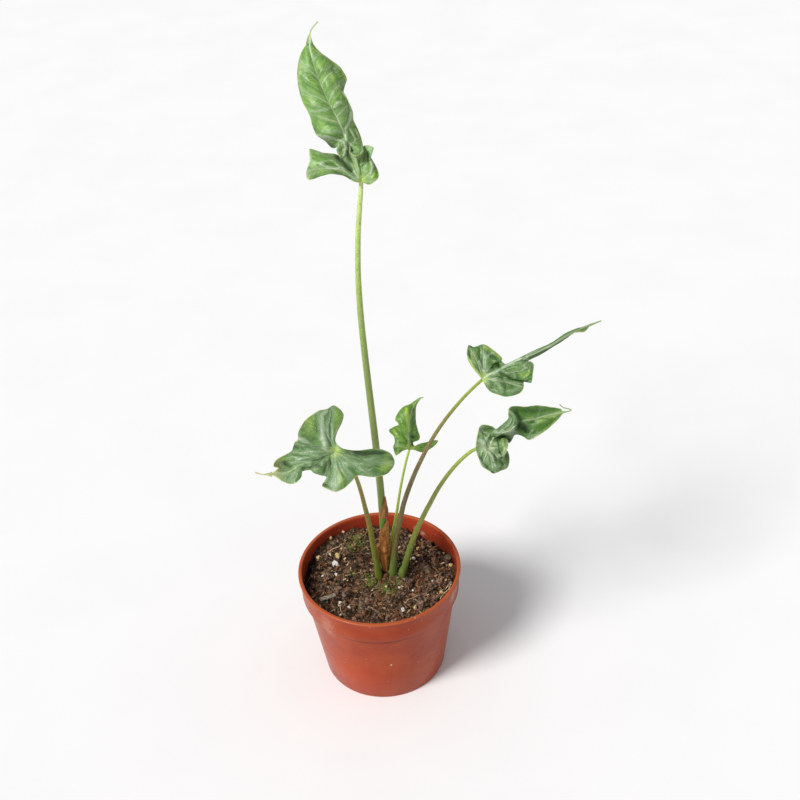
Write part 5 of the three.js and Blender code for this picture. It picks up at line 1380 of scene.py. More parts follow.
@dataclass(frozen=True)
class Stem:
    """A stem from the corm to its blade, running on behind the blade as its midrib."""

    name: str
    route: Sequence[Ring]
    paint: StemPaint
    wing: Sequence[Ring] = ()
    sides: int = 24
    wing_sides: int = 12
    pitch: float = 2.0
    least_radius: float = 0.05
    rib_thick: float = 0.85
    rib_thin: float = 0.3
    rib_taper: float = 0.6
    rib_sink: float = 0.95

    def points(self, route: Sequence[Sequence[float]]) -> tuple[list[Vector], list[float]]:
        """Reads a route at an even pitch.

        Args:
            route: points with radii.

        Returns:
            The centre line and its radii.
        """
        path: list[Vector] = []
        radii: list[float] = []
        for i, (here, there) in enumerate(pairwise(route)):
            steps = max(round((Vector(there[:3]) - Vector(here[:3])).length / self.pitch), 1)
            for k in range(steps):
                x, y, z, radius = along(route, i + k / steps)
                path.append(Vector((x, y, z)))
                radii.append(max(radius, self.least_radius))
        path.append(Vector(route[-1][:3]))
        radii.append(route[-1][3])
        return path, radii

    def rib_route(self, blade: Blade) -> list[Ring]:
        """Carries the stem on behind the blade's midrib.

        Args:
            blade: the blade that it bears.

        Returns:
            Points with radii.
        """
        end = len(blade.midrib) - 1
        start = self.route[-1][3]
        made: list[Ring] = []
        for i in range(1, 2 * end - 1):
            share = i / (2 * end - 1)
            radius = blend(self.rib_thick * start, self.rib_thin, share**self.rib_taper)
            made.append((*blade.behind(i / 2, self.rib_sink * radius), radius))
        return made

    def build(self, blade: Blade) -> Piece:
        """Builds the stem.

        Args:
            blade: the blade that it bears.

        Returns:
            The finished piece.
        """
        bm = bmesh.new()
        free = len(self.points(self.route)[0])
        add_tube(bm, *self.points([*self.route, *self.rib_route(blade)]), self.sides)
        bm.faces.ensure_lookup_table()
        for face in bm.faces[1 + self.sides * free :]:
            face.material_index = 1
        if self.wing:
            add_tube(bm, *self.points(self.wing), self.wing_sides)
        bmesh.ops.recalc_face_normals(bm, faces=bm.faces)
        material = self.paint.made(f"stem_{self.name}", self.route[1][2], self.route[-1][2])
        slot = f"stem_{self.name}"
        rib = blade.paint.rim(f"{slot}_rib")
        return finished(f"petiole_{self.name}", bm, [material, rib], slot, [slot], sharp=60.0)


STEMS = {stem.name: stem for stem in (
    Stem(
        name="tall",
        route=(
            (3.3, 2.5, 62, 2.7), (3.3, 2.5, 79, 2.8), (4.3, 1.9, 97.5, 2.8), (5, 1.2, 116, 2.8),
            (5.1, 0.4, 137, 2.7), (5.1, -0.3, 156, 2.62), (4.8, -1, 176, 2.55), (3.8, -2, 211, 2.42),
            (2.7, -2.8, 239.5, 2.32), (1.7, -3.3, 266.5, 2.2), (0.9, -3.5, 290.5, 2.08),
            (0.4, -3.5, 311, 2), (0.5, -3.4, 333, 1.85), (1.2, -3.2, 350.5, 1.75), (2.7, -2.9, 370.5, 1.65),
            (4.5, -2.6, 385.5, 1.52), (5.8, -2.4, 395.2, 1.4), (6.5, -2.3, 403.5, 1.25),
        ),
        paint=StemPaint(
            (
                (0, "#5c7f2a"), (0.13, "#5a8c2e"), (0.2, "#64822f"), (0.4, "#7c9048"), (0.6, "#819b4a"),
                (0.85, "#b8d872"), (1, "#def59c"),
            ),
            "#71763c",
        ),
    ),
    Stem(
        name="left",
        route=(
            (-0.5, -3.8, 62, 2.6), (-0.5, -3.8, 80, 3), (-1.3, -4.4, 95, 2.45), (-2.3, -5.3, 108.5, 2.25),
            (-3.1, -6.7, 119, 2.12), (-3.7, -9.1, 131, 1.98), (-4.4, -12.6, 144.5, 1.84),
            (-5.5, -17.2, 159, 1.68), (-6.4, -21, 170.5, 1.55), (-7.1, -24.7, 180.5, 1.46),
            (-7.9, -28.4, 190, 1.42), (-9.1, -33.4, 202, 1.36), (-10.8, -38.4, 213.5, 1.32),
            (-13.6, -43, 224.5, 1.3), (-16.8, -46.4, 232.5, 1.3), (-20.3, -48.3, 238.6, 1.25),
        ),
        paint=StemPaint(
            (
                (0, "#627a18"), (0.12, "#68791e"), (0.35, "#80792c"), (0.7, "#95853f"), (1, "#a9ae52"),
            ),
            "#6b5230", 0.5,
        ),
    ),
    Stem(
        name="small",
        route=(
            (8, 5.3, 64, 1.35), (8, 5.3, 80, 1.38), (8.5, 5.5, 90.5, 1.35), (9.5, 6.1, 103, 1.3),
            (11.2, 7, 114.5, 1.22), (13.1, 8.3, 124, 1.16), (15, 9.9, 133, 1.1), (17.2, 12.4, 144.5, 1.02),
            (19.6, 15.3, 156, 0.95), (22.5, 19, 167, 0.88), (25, 22.3, 175, 0.82), (27.4, 26.4, 180.8, 0.8),
        ),
        paint=StemPaint(
            (
                (0, "#62902c"), (0.15, "#86ae3a"), (0.3, "#c0dc58"), (1, "#afcb4c"),
            ),
            "#6f8a30", 0.3,
        ),
    ),
    Stem(
        name="upper_right",
        route=(
            (9.2, -2.1, 62, 3.6), (9.2, -2.1, 79, 4.1), (10.1, -2.2, 90, 3.05), (11.5, -2.3, 103, 2.4),
            (12.9, -2.3, 114, 2.22), (14.5, -2.2, 123.5, 2.08), (16.3, -2.1, 132.5, 1.97),
            (18.2, -2, 141.5, 1.88), (20.3, -1.8, 151, 1.8), (23.3, -1.6, 161.2, 1.72),
            (26.8, -1.3, 171.5, 1.65), (30.5, -0.9, 181.2, 1.58), (35, -0.5, 191.6, 1.5),
            (39.5, -0.1, 201.2, 1.42), (44.9, 0.3, 211.5, 1.34), (51, 0.7, 221.4, 1.26),
            (57.9, 1.1, 231.2, 1.17), (67.3, 1.6, 242.8, 1.07), (78.6, 2.3, 254.3, 1),
        ),
        paint=StemPaint(
            (
                (0, "#4f7c28"), (0.1, "#536b2b"), (0.18, "#5c5c30"), (0.28, "#6c5731"), (0.4, "#75653e"),
                (0.55, "#7f6e47"), (0.7, "#7d6943"), (0.85, "#86883a"), (0.95, "#93af34"),
            ),
            "#6b4c33", 0.45,
        ),
    ),
    Stem(
        name="lower_right",
        route=(
            (16.4, -5.2, 62, 2.2), (16.2, -5.2, 79, 2.3), (17.4, -5.3, 89, 2.35), (19.3, -5.6, 97.5, 2.35),
            (21.6, -6.2, 107, 2.3), (24.3, -7.1, 117.5, 2.2), (27.3, -8.3, 128, 2), (30.8, -9.8, 139, 1.85),
            (35.2, -11.7, 151.5, 1.73), (38.9, -13.2, 161, 1.65), (43.1, -14.8, 171.8, 1.56),
            (47.4, -16.4, 181.4, 1.46), (52.4, -18.1, 191.2, 1.37), (58.9, -20, 201.8, 1.28),
            (66.7, -21.3, 211, 1.17), (73.6, -22, 215.2, 1.08), (78.6, -23, 216, 1.02),
        ),
        paint=StemPaint(
            (
                (0, "#587f2a"), (0.18, "#647a2b"), (0.28, "#6e802f"), (0.4, "#828a33"), (0.55, "#909c42"),
                (0.7, "#869236"), (0.85, "#889b35"), (0.95, "#9ab542"),
            ),
            "#6e5335", 0.45,
        ),
        wing=(
            (15.2, -4.6, 62, 1.6), (15.2, -4.6, 80, 1.7), (15.2, -4.5, 87, 1.5), (15.8, -4.5, 91, 1.2),
            (17.4, -4.8, 95, 0.9), (19, -5.2, 99, 0.4),
        ),
    ),
)}


@dataclass(frozen=True)
class Sheath:
    """A torn strip of old sheath round the tall stem.

    Each row is a height, then the angle round the stem and the distance off it of the left edge, then
    of the right edge.
    """

    name: str
    rows: Sequence[tuple[float, float, float, float, float]]
    finish: DryFinish
    columns: int = 22
    steps: int = 7
    thickness: float = 0.35
    least_stand: float = 0.2
    fray: float = 0.55
    torn_left: float = 9.0
    torn_right: float = 7.0
    crease: float = 0.28
    grain: float = 0.25

    def build(self, stem: Stem) -> Piece:
        """Builds the sheath.

        Args:
            stem: the stem that it stands round.

        Returns:
            The finished piece.
        """
        path, radii = stem.points(stem.route)
        count = (len(self.rows) - 1) * self.steps
        bm = bmesh.new()
        spread = bm.loops.layers.uv.new("spread")
        made = bmesh.ops.create_grid(bm, x_segments=self.columns, y_segments=count, size=1.0)["verts"]
        edge: dict[Vert, float] = {}
        for vert in made:
            share = (vert.co.x + 1) / 2
            place = (vert.co.y + 1) / 2 * (len(self.rows) - 1)
            height, left, left_stand, right, right_stand = along(self.rows, place)
            ragged = self.fray * noise.noise(Vector((height * 0.6, share * 2, 3.7)))
            left -= self.torn_left * ragged
            right += self.torn_right * noise.noise(Vector((height * 0.7, 1.3, share)))
            i = min(range(len(path)), key=lambda k: abs(path[k].z - height))
            crease = self.crease * math.sin(share * 15 + height * 0.05) * math.sin(math.pi * share)
            grain = self.grain * noise.noise(Vector((share * 6, height * 0.12, 0)))
            stand = blend(left_stand, right_stand, share) + crease + grain
            angle = math.radians(blend(left, right, share))
            radius = radii[i] + max(stand, self.least_stand) + self.thickness
            vert.co = path[i] + Vector((radius * math.cos(angle), radius * math.sin(angle), 0.0))
            vert.co.z = height + ragged * (1.2 if place in (0.0, len(self.rows) - 1.0) else 0.2)
            edge[vert] = min(share, 1 - share) * self.columns * 0.4
        for face in bm.faces:
            for loop in face.loops:
                loop[spread].uv = (edge[loop.vert], 0.0)
        bmesh.ops.recalc_face_normals(bm, faces=bm.faces)
        paper = [papery(self.name, self.finish)] * 3
        return finished(
            f"{self.name}_paper", bm, paper, self.name, [self.name], sharp=50.0, thickness=self.thickness
        )


SHEATHS = (
    Sheath(
        "sheath_lower",
        (
            (85.5, -82, 1.1, -66, 1.1), (90, -104, 1.2, -50, 0.9), (97, -140, 1.5, -34, 0.9),
            (103, -158, 1.8, -24, 1.3), (109, -166, 2.4, -24, 1.7), (112.5, -165, 2.8, -26, 1.6),
            (115.5, -152, 1.2, -26, 1.6), (122, -150, 1, -26, 1.4), (128, -134, 0.8, -28, 1.3),
            (133, -94, 0.8, -32, 1.2), (138, -48, 0.9, -34, 1),
        ),
        DryFinish.SHEATH,
    ),
    Sheath(
        "sheath_upper",
        (
            (141, -118, 0.4, -8, 0.9), (147, -112, 0.4, -5, 1.1), (153, -84, 0.4, -12, 0.5),
            (160, -38, 0.35, -26, 0.35),
        ),
        DryFinish.SHEATH_DARK,
    ),
)


@dataclass(frozen=True)
class Corm:
    """Brown corm whose crown just shows, ringed by the scars of old leaves."""

    centre: Point = (7.4, -1.8, 67.5)
    radius: float = 14.5
    flatness: float = 0.72
    half_height: float = 17.5
    detail: int = 6
    rings: float = 0.5

    def build(self) -> Piece:
        """Builds the corm.

        Returns:
            The finished piece.
        """
        bm = bmesh.new()
        verts = bmesh.ops.create_icosphere(bm, subdivisions=self.detail, radius=1.0)["verts"]
        for vert in verts:
            way = vert.co.copy()
            rise = way.z * self.half_height
            swell = self.rings * math.sin(rise * 1.9 + 1.5 * noise.noise(way * 2.0)) * (1 - way.z**4)
            swell += 0.9 * noise.noise(way * 3.0) + 0.35 * noise.noise(way * 9.0)
            wide = self.radius + swell - self.rings
            vert.co = Vector(self.centre) + Vector((way.x * wide, way.y * wide * self.flatness, rise))
        return finished("corm_crown", bm, [DryFinish.CORM.made()], "corm", ["corm"], sharp=60.0)


# ---- pot


class PotPlastic:
    """Terracotta-coloured plastic: satin outside, redder and dirtier inside, dusty under the lip, with a
    painted shadow under the collar, a painted highlight on the lip and a painted glow low at the front
    left.
    """

    marks: tuple[tuple[Point, float, float, str], ...] = (
        ((21.6, -47.8, 46.7), 1.3, 0.8, "#3d2417"), ((3.5, -56.6, 75.2), 0.9, 0.7, "#54301f"),
        ((-37.8, -39.2, 58.6), 1.0, 0.6, "#54301f"), ((4.8, -51.5, 41.6), 1.1, 0.9, "#e9dccb"),
        ((-13, -51.6, 49), 0.9, 0.8, "#e3cfb9"), ((24.1, -54.0, 91.5), 0.9, 0.9, "#f2ebe0"),
        ((52.5, -26, 82.6), 7.0, 0.45, "#cdb3a0"), ((55, -20, 84), 5.0, 0.4, "#cdb3a0"),
        ((-39, -43.9, 80), 9.0, 0.35, "#c99f88"), ((-40, -42, 70), 9.0, 0.4, "#c99f88"),
        ((28.9, 49.4, 82), 3.0, 0.6, "#d8b9a8"), ((34, 46, 80), 3.0, 0.55, "#d8b9a8"),
    )

    def __init__(self, collar_base: float, height: float, inner_radius: float) -> None:
        """Takes the heights and the radius between which the finish changes."""
        self.collar_base = collar_base
        self.height = height
        self.inner_radius = inner_radius

    def made(self) -> Material:
        """Makes the material.

        Returns:
            The material.
        """
        finish = Finish("terracotta_plastic")
        height = finish.coordinate(Axis.Z)
        x, y = finish.coordinate(Axis.X), finish.coordinate(Axis.Y)
        reach = finish.sum("SQRT", finish.plus(finish.times(x, x), finish.times(y, y)))
        within = finish.fade(reach, self.inner_radius - 0.1, self.inner_radius + 0.2, 1.0, 0.0)
        inside = finish.times(within, finish.fade(height, self.collar_base - 1.0, self.collar_base))
        body = finish.coats("#9c350c", (
            ("#a64014", finish.cloud(0.035, 2.0), 0.4, 0.6),
            ("#983a1d", finish.cloud(0.5, 4.0), 0.4, 0.65, 0.0, 0.25),
            # Painted glow: a brighter orange patch low on the front left.
            ("#b8400f", finish.away_from((-22, -44, 22)), 6, 34, 0.5, 0.0),
        ))
        body = finish.mix(finish.times(inside, 0.9), body, "#b4432a")
        film = finish.cloud(0.09, 5.0, 0.65, finish.stretched((1.0, 1.0, 1.6)))
        grit = finish.cloud(1.1, 4.0, 0.7)
        dusty = finish.times(finish.fade(film, 0.5, 0.66), finish.fade(grit, 0.38, 0.62))
        low = finish.fade(height, self.collar_base - 6, self.collar_base + 4, 1.0, 0.35)
        body = finish.mix(finish.times(finish.times(dusty, low), 0.13), body, "#c98c5f")
        # Painted shadow: a dark band just under the collar's step, on the outside only.
        collar_shadow = finish.times(
            finish.fade(height, self.collar_base - 5.0, self.collar_base - 1.2, 0.0, 1.0),
            finish.fade(height, self.collar_base - 0.5, self.collar_base + 0.3, 1.0, 0.0),
        )
        body = finish.mix(finish.times(collar_shadow, finish.fade(inside, 0.0, 0.5, 1.0, 0.0)), body, "#3a140b")
        soiled = finish.times(inside, finish.fade(grit, 0.42, 0.58, 0.08, 0.85))
        crusted = finish.fade(finish.plus(height, finish.times(film, 14.0)), 86.0, 94.0, 0.95, 0.05)
        body = finish.mix(finish.times(soiled, crusted), body, "#3c2a1f")
        dark = finish.fade(finish.cells(0.16), 0.07, 0.11, 0.75, 0.0)
        dots = finish.cells(0.13, Cells.CENTRE, finish.stretched((1.0, 1.0, 1.13)))
        body = finish.mix(finish.times(dark, 0.6), body, "#4b2a1b")
        body = finish.mix(finish.times(finish.fade(dots, 0.05, 0.09, 0.8, 0.0), 0.3), body, "#e6d8c6")
        for place, size, strength, code in self.marks:
            ragged = finish.fade(grit, 0.3, 0.7, 0.6 * size, -0.4 * size)
            worn = finish.plus(finish.away_from(place), ragged)
            body = finish.coats(body, ((code, worn, 0.3 * size, size, strength, 0.0),))
        # Painted highlight along the top of the rolled lip.
        lip = finish.fade(height, self.height - 1.6, self.height - 0.5)
        body = finish.mix(finish.times(lip, 0.35), body, "#d27a4c")
        scuff = finish.cloud(0.8, 3.0, 0.6, finish.stretched((0.25, 0.25, 2.0)))
        gloss = finish.plus(finish.fade(scuff, 0.35, 0.7, 0.3, 0.4), finish.times(dusty, 0.2))
        normal = finish.relief(scuff, 0.02, finish.relief(finish.cloud(0.05, 2.0), 0.4))
        return finish.made(body, gloss, normal, Specular_IOR_Level=0.2)


@dataclass(frozen=True)
class Pot:
    """Thin round pot with a deep collar, a rolled lip, a stepped floor and drain holes."""

    sides: int = 160
    drains: int = 8
    drain_radius: float = 3.5
    drain_circle: float = 28.0
    drain_sides: int = 32
    drain_depth: float = 10.0
    collar_base: float = 73.0
    height: float = 92.0
    inner_radius: float = 57.7
    profile: tuple[tuple[float, float], ...] = (
        (0, 0), (15.6, 0), (16.3, 0.4), (17.3, 2.2), (17.9, 2.5), (38.2, 2.5), (38.8, 2.1), (39.8, 0.3),
        (40.4, 0), (44.8, 0), (45.6, 0.25), (46, 1), (50, 29.5), (55.75, 70.6), (56.1, 71.9), (56.5, 72.5),
        (57.6, 72.75), (58.2, 73), (58.45, 73.5), (58.6, 81), (58.75, 89.2), (58.95, 89.7), (59.5, 89.95),
        (59.85, 90.3), (60, 90.9), (59.9, 91.5), (59.5, 91.9), (58.8, 92), (58, 92), (57.6, 91.85),
        (57.3, 91.3), (57.2, 88), (56.95, 76), (56.8, 74.9), (56.3, 74.2), (54.9, 73), (54.5, 72),
        (48.6, 30), (44.7, 2.4), (44, 1.6), (43.4, 1.5), (41, 1.5), (40.2, 1.9), (39.3, 3.7), (38.6, 4),
        (17.4, 4), (16.7, 3.6), (15.7, 1.8), (15, 1.5), (0, 1.5),
    )

    def build(self) -> Piece:
        """Builds the pot.

        Returns:
            The finished piece.
        """
        bm = bmesh.new()
        verts = [bm.verts.new((radius, 0.0, height)) for radius, height in self.profile]
        edges = [bm.edges.new(pair) for pair in pairwise(verts)]
        bmesh.ops.spin(
            bm, geom=[*verts, *edges], axis=(0, 0, 1), cent=(0, 0, 0), steps=self.sides, angle=math.tau,
            use_merge=True,
        )
        bmesh.ops.remove_doubles(bm, verts=bm.verts, dist=0.001)
        bmesh.ops.recalc_face_normals(bm, faces=bm.faces)
        plastic = PotPlastic(self.collar_base, self.height, self.inner_radius).made()
        piece = finished("pot_shell", bm, [plastic], "pot", ["pot"], sharp=32.0)
        self.drill(piece)
        return piece

    def drill(self, piece: Piece) -> None:
        """Cuts the drain holes through the floor."""
        bm = bmesh.new()
        for i in range(self.drains):
            angle = math.tau * (i + 0.5) / self.drains
            spot = Vector((math.cos(angle), math.sin(angle), 0.1)) * self.drain_circle
            bmesh.ops.create_cone(
                bm, cap_ends=True, segments=self.drain_sides, radius1=self.drain_radius,
                radius2=self.drain_radius, depth=self.drain_depth, matrix=Matrix.Translation(spot),
            )
        drills = drafted("drills", bm)
        cut = piece.modifiers.new("drains", "BOOLEAN")
        cut.object = drills
        cut.solver = "EXACT"
        settle(piece)
        bpy.data.objects.remove(drills)


# ---- soil


@dataclass(frozen=True)
class Soil:
    """Potting soil with a crumbly top."""

    level: float = 80.5
    mound: float = 3.0
    corm_foot: tuple[float, float] = (7.4, -1.8)
    banks: tuple[Point, ...] = ((128, 36, 4.5), (42, 15, -5), (180, 16, -5))
    feet: tuple[Point, ...] = ()
    collar: float = 2.0
    spots: tuple[tuple[float, float, float, float], ...] = (
        (33, 12, 7, -3.2), (27, 28, 6, -1.6), (43, -28, 6, -1.8), (-12, -13, 4, -1.6), (-19, -26, 5, -1.4),
        (-21, 23, 6, -1.8), (-6, 15, 5, -1.6), (14, -38, 9, 1.6), (-6, -34, 8, 1.2), (-26, -13, 8, 1.2),
        (36, -17, 7, 1.4), (45, 3, 7, 1.2),
    )
    reach: float = 60.0
    radius: float = 56.85
    ledge: float = 76.0
    segments: int = 250
    wall: tuple[tuple[float, float], ...] = ((56.4, 75.0), (54.1, 72.2), (44.1, 5.0))
    waves: tuple[tuple[float, float, float, float], ...] = (
        (0.55, 0.47, -0.31, 2.1), (0.45, 0.38, 0.52, 0.0), (0.3, -0.41, 0.83, 0.7),
    )
    grains: tuple[tuple[float, float, float, Point], ...] = (
        (8.5, 0.62, 4.4, (0, 0, 0)), (3.2, 0.6, 2.6, (5, 9, 2)), (1.5, 0.55, 1.0, (0, 0, 0)),
    )
    grain_level: float = 2.3
    sway: float = 2.0
    sway_scale: float = 0.2
    rough: float = 0.9
    rough_size: float = 5.0

    def broad_height(self, x: float, y: float) -> float:
        """Height of the soil's broad relief: a mound round the corm, banks at the wall, and lumps."""
        away = math.hypot(x - self.corm_foot[0], y - self.corm_foot[1]) / self.reach
        outward = (x * x + y * y) / self.reach**2
        azimuth = math.degrees(math.atan2(y, x))
        height = self.level + self.mound * math.exp(-5 * away * away)
        for middle, width, rise in self.banks:
            aside = (azimuth - middle + 180) % 360 - 180
            height += rise * outward * math.exp(-((aside / width) ** 2))
        height += 0.9 * math.sin(0.21 * x + 1.3) * math.sin(0.24 * y + 0.4)
        return height + sum(rise * math.sin(p * x + q * y + start) for rise, p, q, start in self.waves)

    def height(self, x: float, y: float) -> float:
        """Height of the soil with its clods, crumbs and hollows.

        Args:
            x: place across.
            y: place in depth.

        Returns:
            The height.
        """
        height = self.broad_height(x, y)
        for fx, fy, radius in self.feet:
            height += self.collar * (1 - smooth(radius + 1.0, radius + 6.0, math.hypot(x - fx, y - fy)))
        for sx, sy, width, rise in self.spots:
            height += rise * math.exp(-((x - sx) ** 2 + (y - sy) ** 2) / width**2)
        spot = Vector((x, y, 0.0))
        spot += noise.noise_vector(spot * self.sway_scale) * self.sway
        for size, reach, rise, shift in self.grains:
            height += rise * max(reach - noise.voronoi(spot / size + Vector(shift))[0][0], 0.0)
        rough = noise.noise(spot / self.rough_size + Vector((3, 1, 8))) * self.rough
        return max(height + rough - self.grain_level, self.ledge - 0.6)

    def on_disc(self, a: float, b: float) -> tuple[float, float]:
        """Carries a place on a square from -1 to 1 to its place on the round soil."""
        if abs(a) < 1e-6 and abs(b) < 1e-6:
            reach, angle = 0.0, 0.0
        elif abs(a) > abs(b):
            reach, angle = a, math.pi / 4 * b / a
        else:
            reach, angle = b, math.pi / 2 - math.pi / 4 * a / b
        return self.radius * reach * math.cos(angle), self.radius * reach * math.sin(angle)

    def build(self) -> Piece:
        """Builds the soil.

        Returns:
            The finished piece.
        """
        bm = bmesh.new()
        bmesh.ops.create_grid(bm, x_segments=self.segments, y_segments=self.segments, size=1.0)
        for vert in bm.verts:
            x, y = self.on_disc(vert.co.x, vert.co.y)
            vert.co = (x, y, self.height(x, y))
        edges = [edge for edge in bm.edges if edge.is_boundary]
        for radius, height in self.wall:
            ring, edges = extruded(bm, edges)
            for vert in ring:
                around = Vector((vert.co.x, vert.co.y, 0.0)).normalized() * radius
                vert.co = (around.x, around.y, height)
        bmesh.ops.edgeloop_fill(bm, edges=edges)
        bmesh.ops.recalc_face_normals(bm, faces=bm.faces)
        return finished("soil_body", bm, [self.earth()], "soil", ["soil"], sharp=75.0)

    def earth(self) -> Material:
        """Makes the soil's material.

        Returns:
            The material.
        """
        finish = Finish("earth")
        crumb = finish.cloud(0.6, 5.0, 0.7)
        body = finish.coats("#281c14", (
            ("#4e3828", finish.cloud(0.08, 3.0), 0.38, 0.62),
            ("#907661", crumb, 0.46, 0.68, 0.0, 0.75),
            ("#a9875f", finish.cloud(1.7, 3.0, 0.75), 0.6, 0.68, 0.0, 0.6),
        ))
        # Painted shade: the soil is darkened the lower it lies, down towards the ledge by the wall.
        hollow_shade = ("#120c09", finish.coordinate(Axis.Z), 76.0, SOIL_TOP, 0.7, 0.0)
        body = finish.coats(painted_shade_and_algae(finish, body), (hollow_shade,))
        normal = finish.relief(crumb, 0.6, finish.relief(finish.cloud(2.4, 4.0, 0.7), 0.3))
        return finish.made(body, 0.96, normal, Specular_IOR_Level=0.2)


@dataclass(frozen=True)
class Heap:
    """Lumps of one kind: their fineness, height over width, unevenness, sunk share and narrowness."""

    name: str
    finish: DryFinish
    detail: int
    flat: float
    rough: float
    sink: float = 0.35
    narrow: float = 0.85

    def laid(self, soil: Soil, spots: Sequence[Point], draw: random.Random) -> Piece:
        """Lays the lumps on the soil.

        Args:
            soil: what they lie on.
            spots: place and half size of each.
            draw: source of what varies from one to the next.

        Returns:
            The finished piece.
        """
        bm = bmesh.new()
        for x, y, size in spots:
            rise = size * self.flat
            centre = (x, y, soil.height(x, y) + rise * (1 - 2 * self.sink))
            width = size * self.narrow * draw.uniform(0.8, 1.2)
            tall = rise * draw.uniform(0.8, 1.2)
            add_lump(bm, centre, (size, width, tall), draw, self.detail, self.rough)
        return finished(self.name, bm, [self.finish.made()], "soil", sharp=45.0)


@dataclass(frozen=True)
class Loose:
    """A heap spread all over the soil.

    The sizes start at the least and go up by the range, times a share raised to the power. The margin
    off the wall is each lump's own size where none is given. Some lie round the foot of each stem.
    """

    heap: Heap
    count: int
    least: float
    more: float
    power: int
    margin: float | None = None
    at_each_foot: int = 0


@dataclass
class Scatter:
    """What lies on the soil: crumbs, clods, fibres, perlite, beads, bark, stones, moss and a root."""

    soil: Soil
    feet: tuple[tuple[float, float, float], ...]
    draw: random.Random = field(default_factory=lambda: random.Random(20))
    edge: float = 55.0
    clear: float = 1.5
    strand_step: float = 1.8
    strand_margin: float = 3.0
    strand_bend: float = 0.13
    root_bend: float = 0.18
    root_lift: float = 1.0
    strand_radii: tuple[float, float] = (0.1, 0.22)
    thick_strand: float = 0.3
    chip_thickness: float = 0.9
    chip_lift: float = 0.8
    tuft_radii: tuple[float, float] = (0.4, 0.08)

    def spot(self, margin: float = 0.0) -> tuple[float, float]:
        """Draws a place on the soil clear of the stems, and a margin away from the wall."""
        while True:
            reach = (self.edge - margin) * math.sqrt(self.draw.random())
            angle = self.draw.uniform(0, math.tau)
            x, y = reach * math.cos(angle), reach * math.sin(angle)
            if all(math.hypot(x - fx, y - fy) > radius + self.clear for fx, fy, radius in self.feet):
                return x, y

    def strand(
        self, bm: Draft, start: Point, angle: float, length: float, radius: float, bend: float
    ) -> None:
        """Lays one thin strand on the soil.

        Args:
            bm: mesh that gets it.
            start: place and height over the soil.
            angle: way that it sets off in.
            length: its length.
            radius: its radius.
            bend: how much it wanders, in radians a step.
        """
        steps = max(3, round(length / self.strand_step))
        x, y, lift = start
        path = []
        for i in range(steps + 1):
            arch = lift * math.sin(math.pi * (i + 0.6) / (steps + 1))
            path.append(Vector((x, y, self.soil.height(x, y) + radius + arch)))
            angle += self.draw.uniform(-bend, bend)
            x, y = x + length / steps * math.cos(angle), y + length / steps * math.sin(angle)
            over = math.hypot(x, y) / (self.edge + 1.0)
            if over > 1:
                x, y = x / over, y / over
        radii = [radius * (1 - 0.5 * i / steps) for i in range(steps + 1)]
        add_tube(bm, path, radii, 3 if radius < self.thick_strand else 6)

    def strands(self, name: str, finish: DryFinish, count: int) -> Piece:
        """Lays thin strands all over the soil.

        Args:
            name: the piece's name.
            finish: what they are made of.
            count: how many.

        Returns:
            The finished piece.
        """
        bm = bmesh.new()
        for _ in range(count):
            x, y = self.spot(self.strand_margin)
            lift = self.draw.uniform(0.1, 1.3)
            length = self.draw.uniform(2.5, 9.0)
            turn, radius = self.draw.uniform(0, math.tau), self.draw.uniform(*self.strand_radii)
            self.strand(bm, (x, y, lift), turn, length, radius, self.strand_bend)
        bmesh.ops.recalc_face_normals(bm, faces=bm.faces)
        return finished(name, bm, [finish.made()], "soil", sharp=60.0)

    def chips(self, name: str, finish: DryFinish, spots: Sequence[tuple[float, ...]]) -> Piece:
        """Lays flat chips of bark on the soil.

        Args:
            name: the piece's name.
            finish: what they are made of.
            spots: place, length, width and turn in degrees of each.

        Returns:
            The finished piece.
        """
        bm = bmesh.new()
        for x, y, length, width, turn in spots:
            centre = Vector((x, y, self.soil.height(x, y) + self.chip_lift))
            frame = Matrix.Translation(centre) @ Matrix.Rotation(math.radians(turn), 4, "Z")
            frame = frame @ tipped(self.draw, 0.25, 0.2)
            frame @= Matrix.Diagonal((length, width, self.chip_thickness, 1.0))
            others = len(bm.verts)
            made = bmesh.ops.create_cube(bm, size=1.0, matrix=frame)["verts"]
            edges = list(dict.fromkeys(edge for vert in made for edge in vert.link_edges))
            bmesh.ops.subdivide_edges(bm, edges=edges, cuts=4, use_grid_fill=True)
            for vert in list(bm.verts)[others:]:
                away = vert.co - centre
                broad = noise.noise_vector(away * 0.5 + centre) * 0.7
                vert.co += broad + noise.noise_vector(away * 1.5 + centre) * 0.25
        bmesh.ops.recalc_face_normals(bm, faces=bm.faces)
        return finished(name, bm, [finish.made()], "soil", sharp=35.0)

    def moss(self, patches: Sequence[tuple[float, float, float, int]]) -> Piece:
        """Grows small tufts of moss.

        Args:
            patches: place, radius and number of tufts of each patch.

        Returns:
            The finished piece.
        """
        bm = bmesh.new()
        foot, tip = self.tuft_radii
        for px, py, spread, count in patches:
            for _ in range(count):
                x, y = self.draw.gauss(px, spread / 2), self.draw.gauss(py, spread / 2)
                if math.hypot(x, y) > self.edge:
                    continue
                lean = tipped(self.draw, 0.9, 0.9)
                tall = self.draw.uniform(0.5, 1.4)
                stand = Matrix.Translation((x, y, self.soil.height(x, y) + 0.2))
                frame = stand @ lean @ Matrix.Translation((0, 0, tall / 2))
                bmesh.ops.create_cone(
                    bm, cap_ends=True, segments=4, radius1=foot, radius2=tip, depth=tall, matrix=frame
                )
        return finished("moss", bm, [DryFinish.MOSS.made()], "soil", sharp=60.0)

    def pale_roots(self) -> Piece:
        """Lays the pale roots."""
        bm = bmesh.new()
        for x, y, turn, length, radius in PALE_ROOTS:
            self.strand(bm, (x, y, self.root_lift), math.radians(turn), length, radius, self.root_bend)
        bmesh.ops.recalc_face_normals(bm, faces=bm.faces)
        return finished("pale_roots", bm, [DryFinish.ROOT.made()], "soil", sharp=60.0)

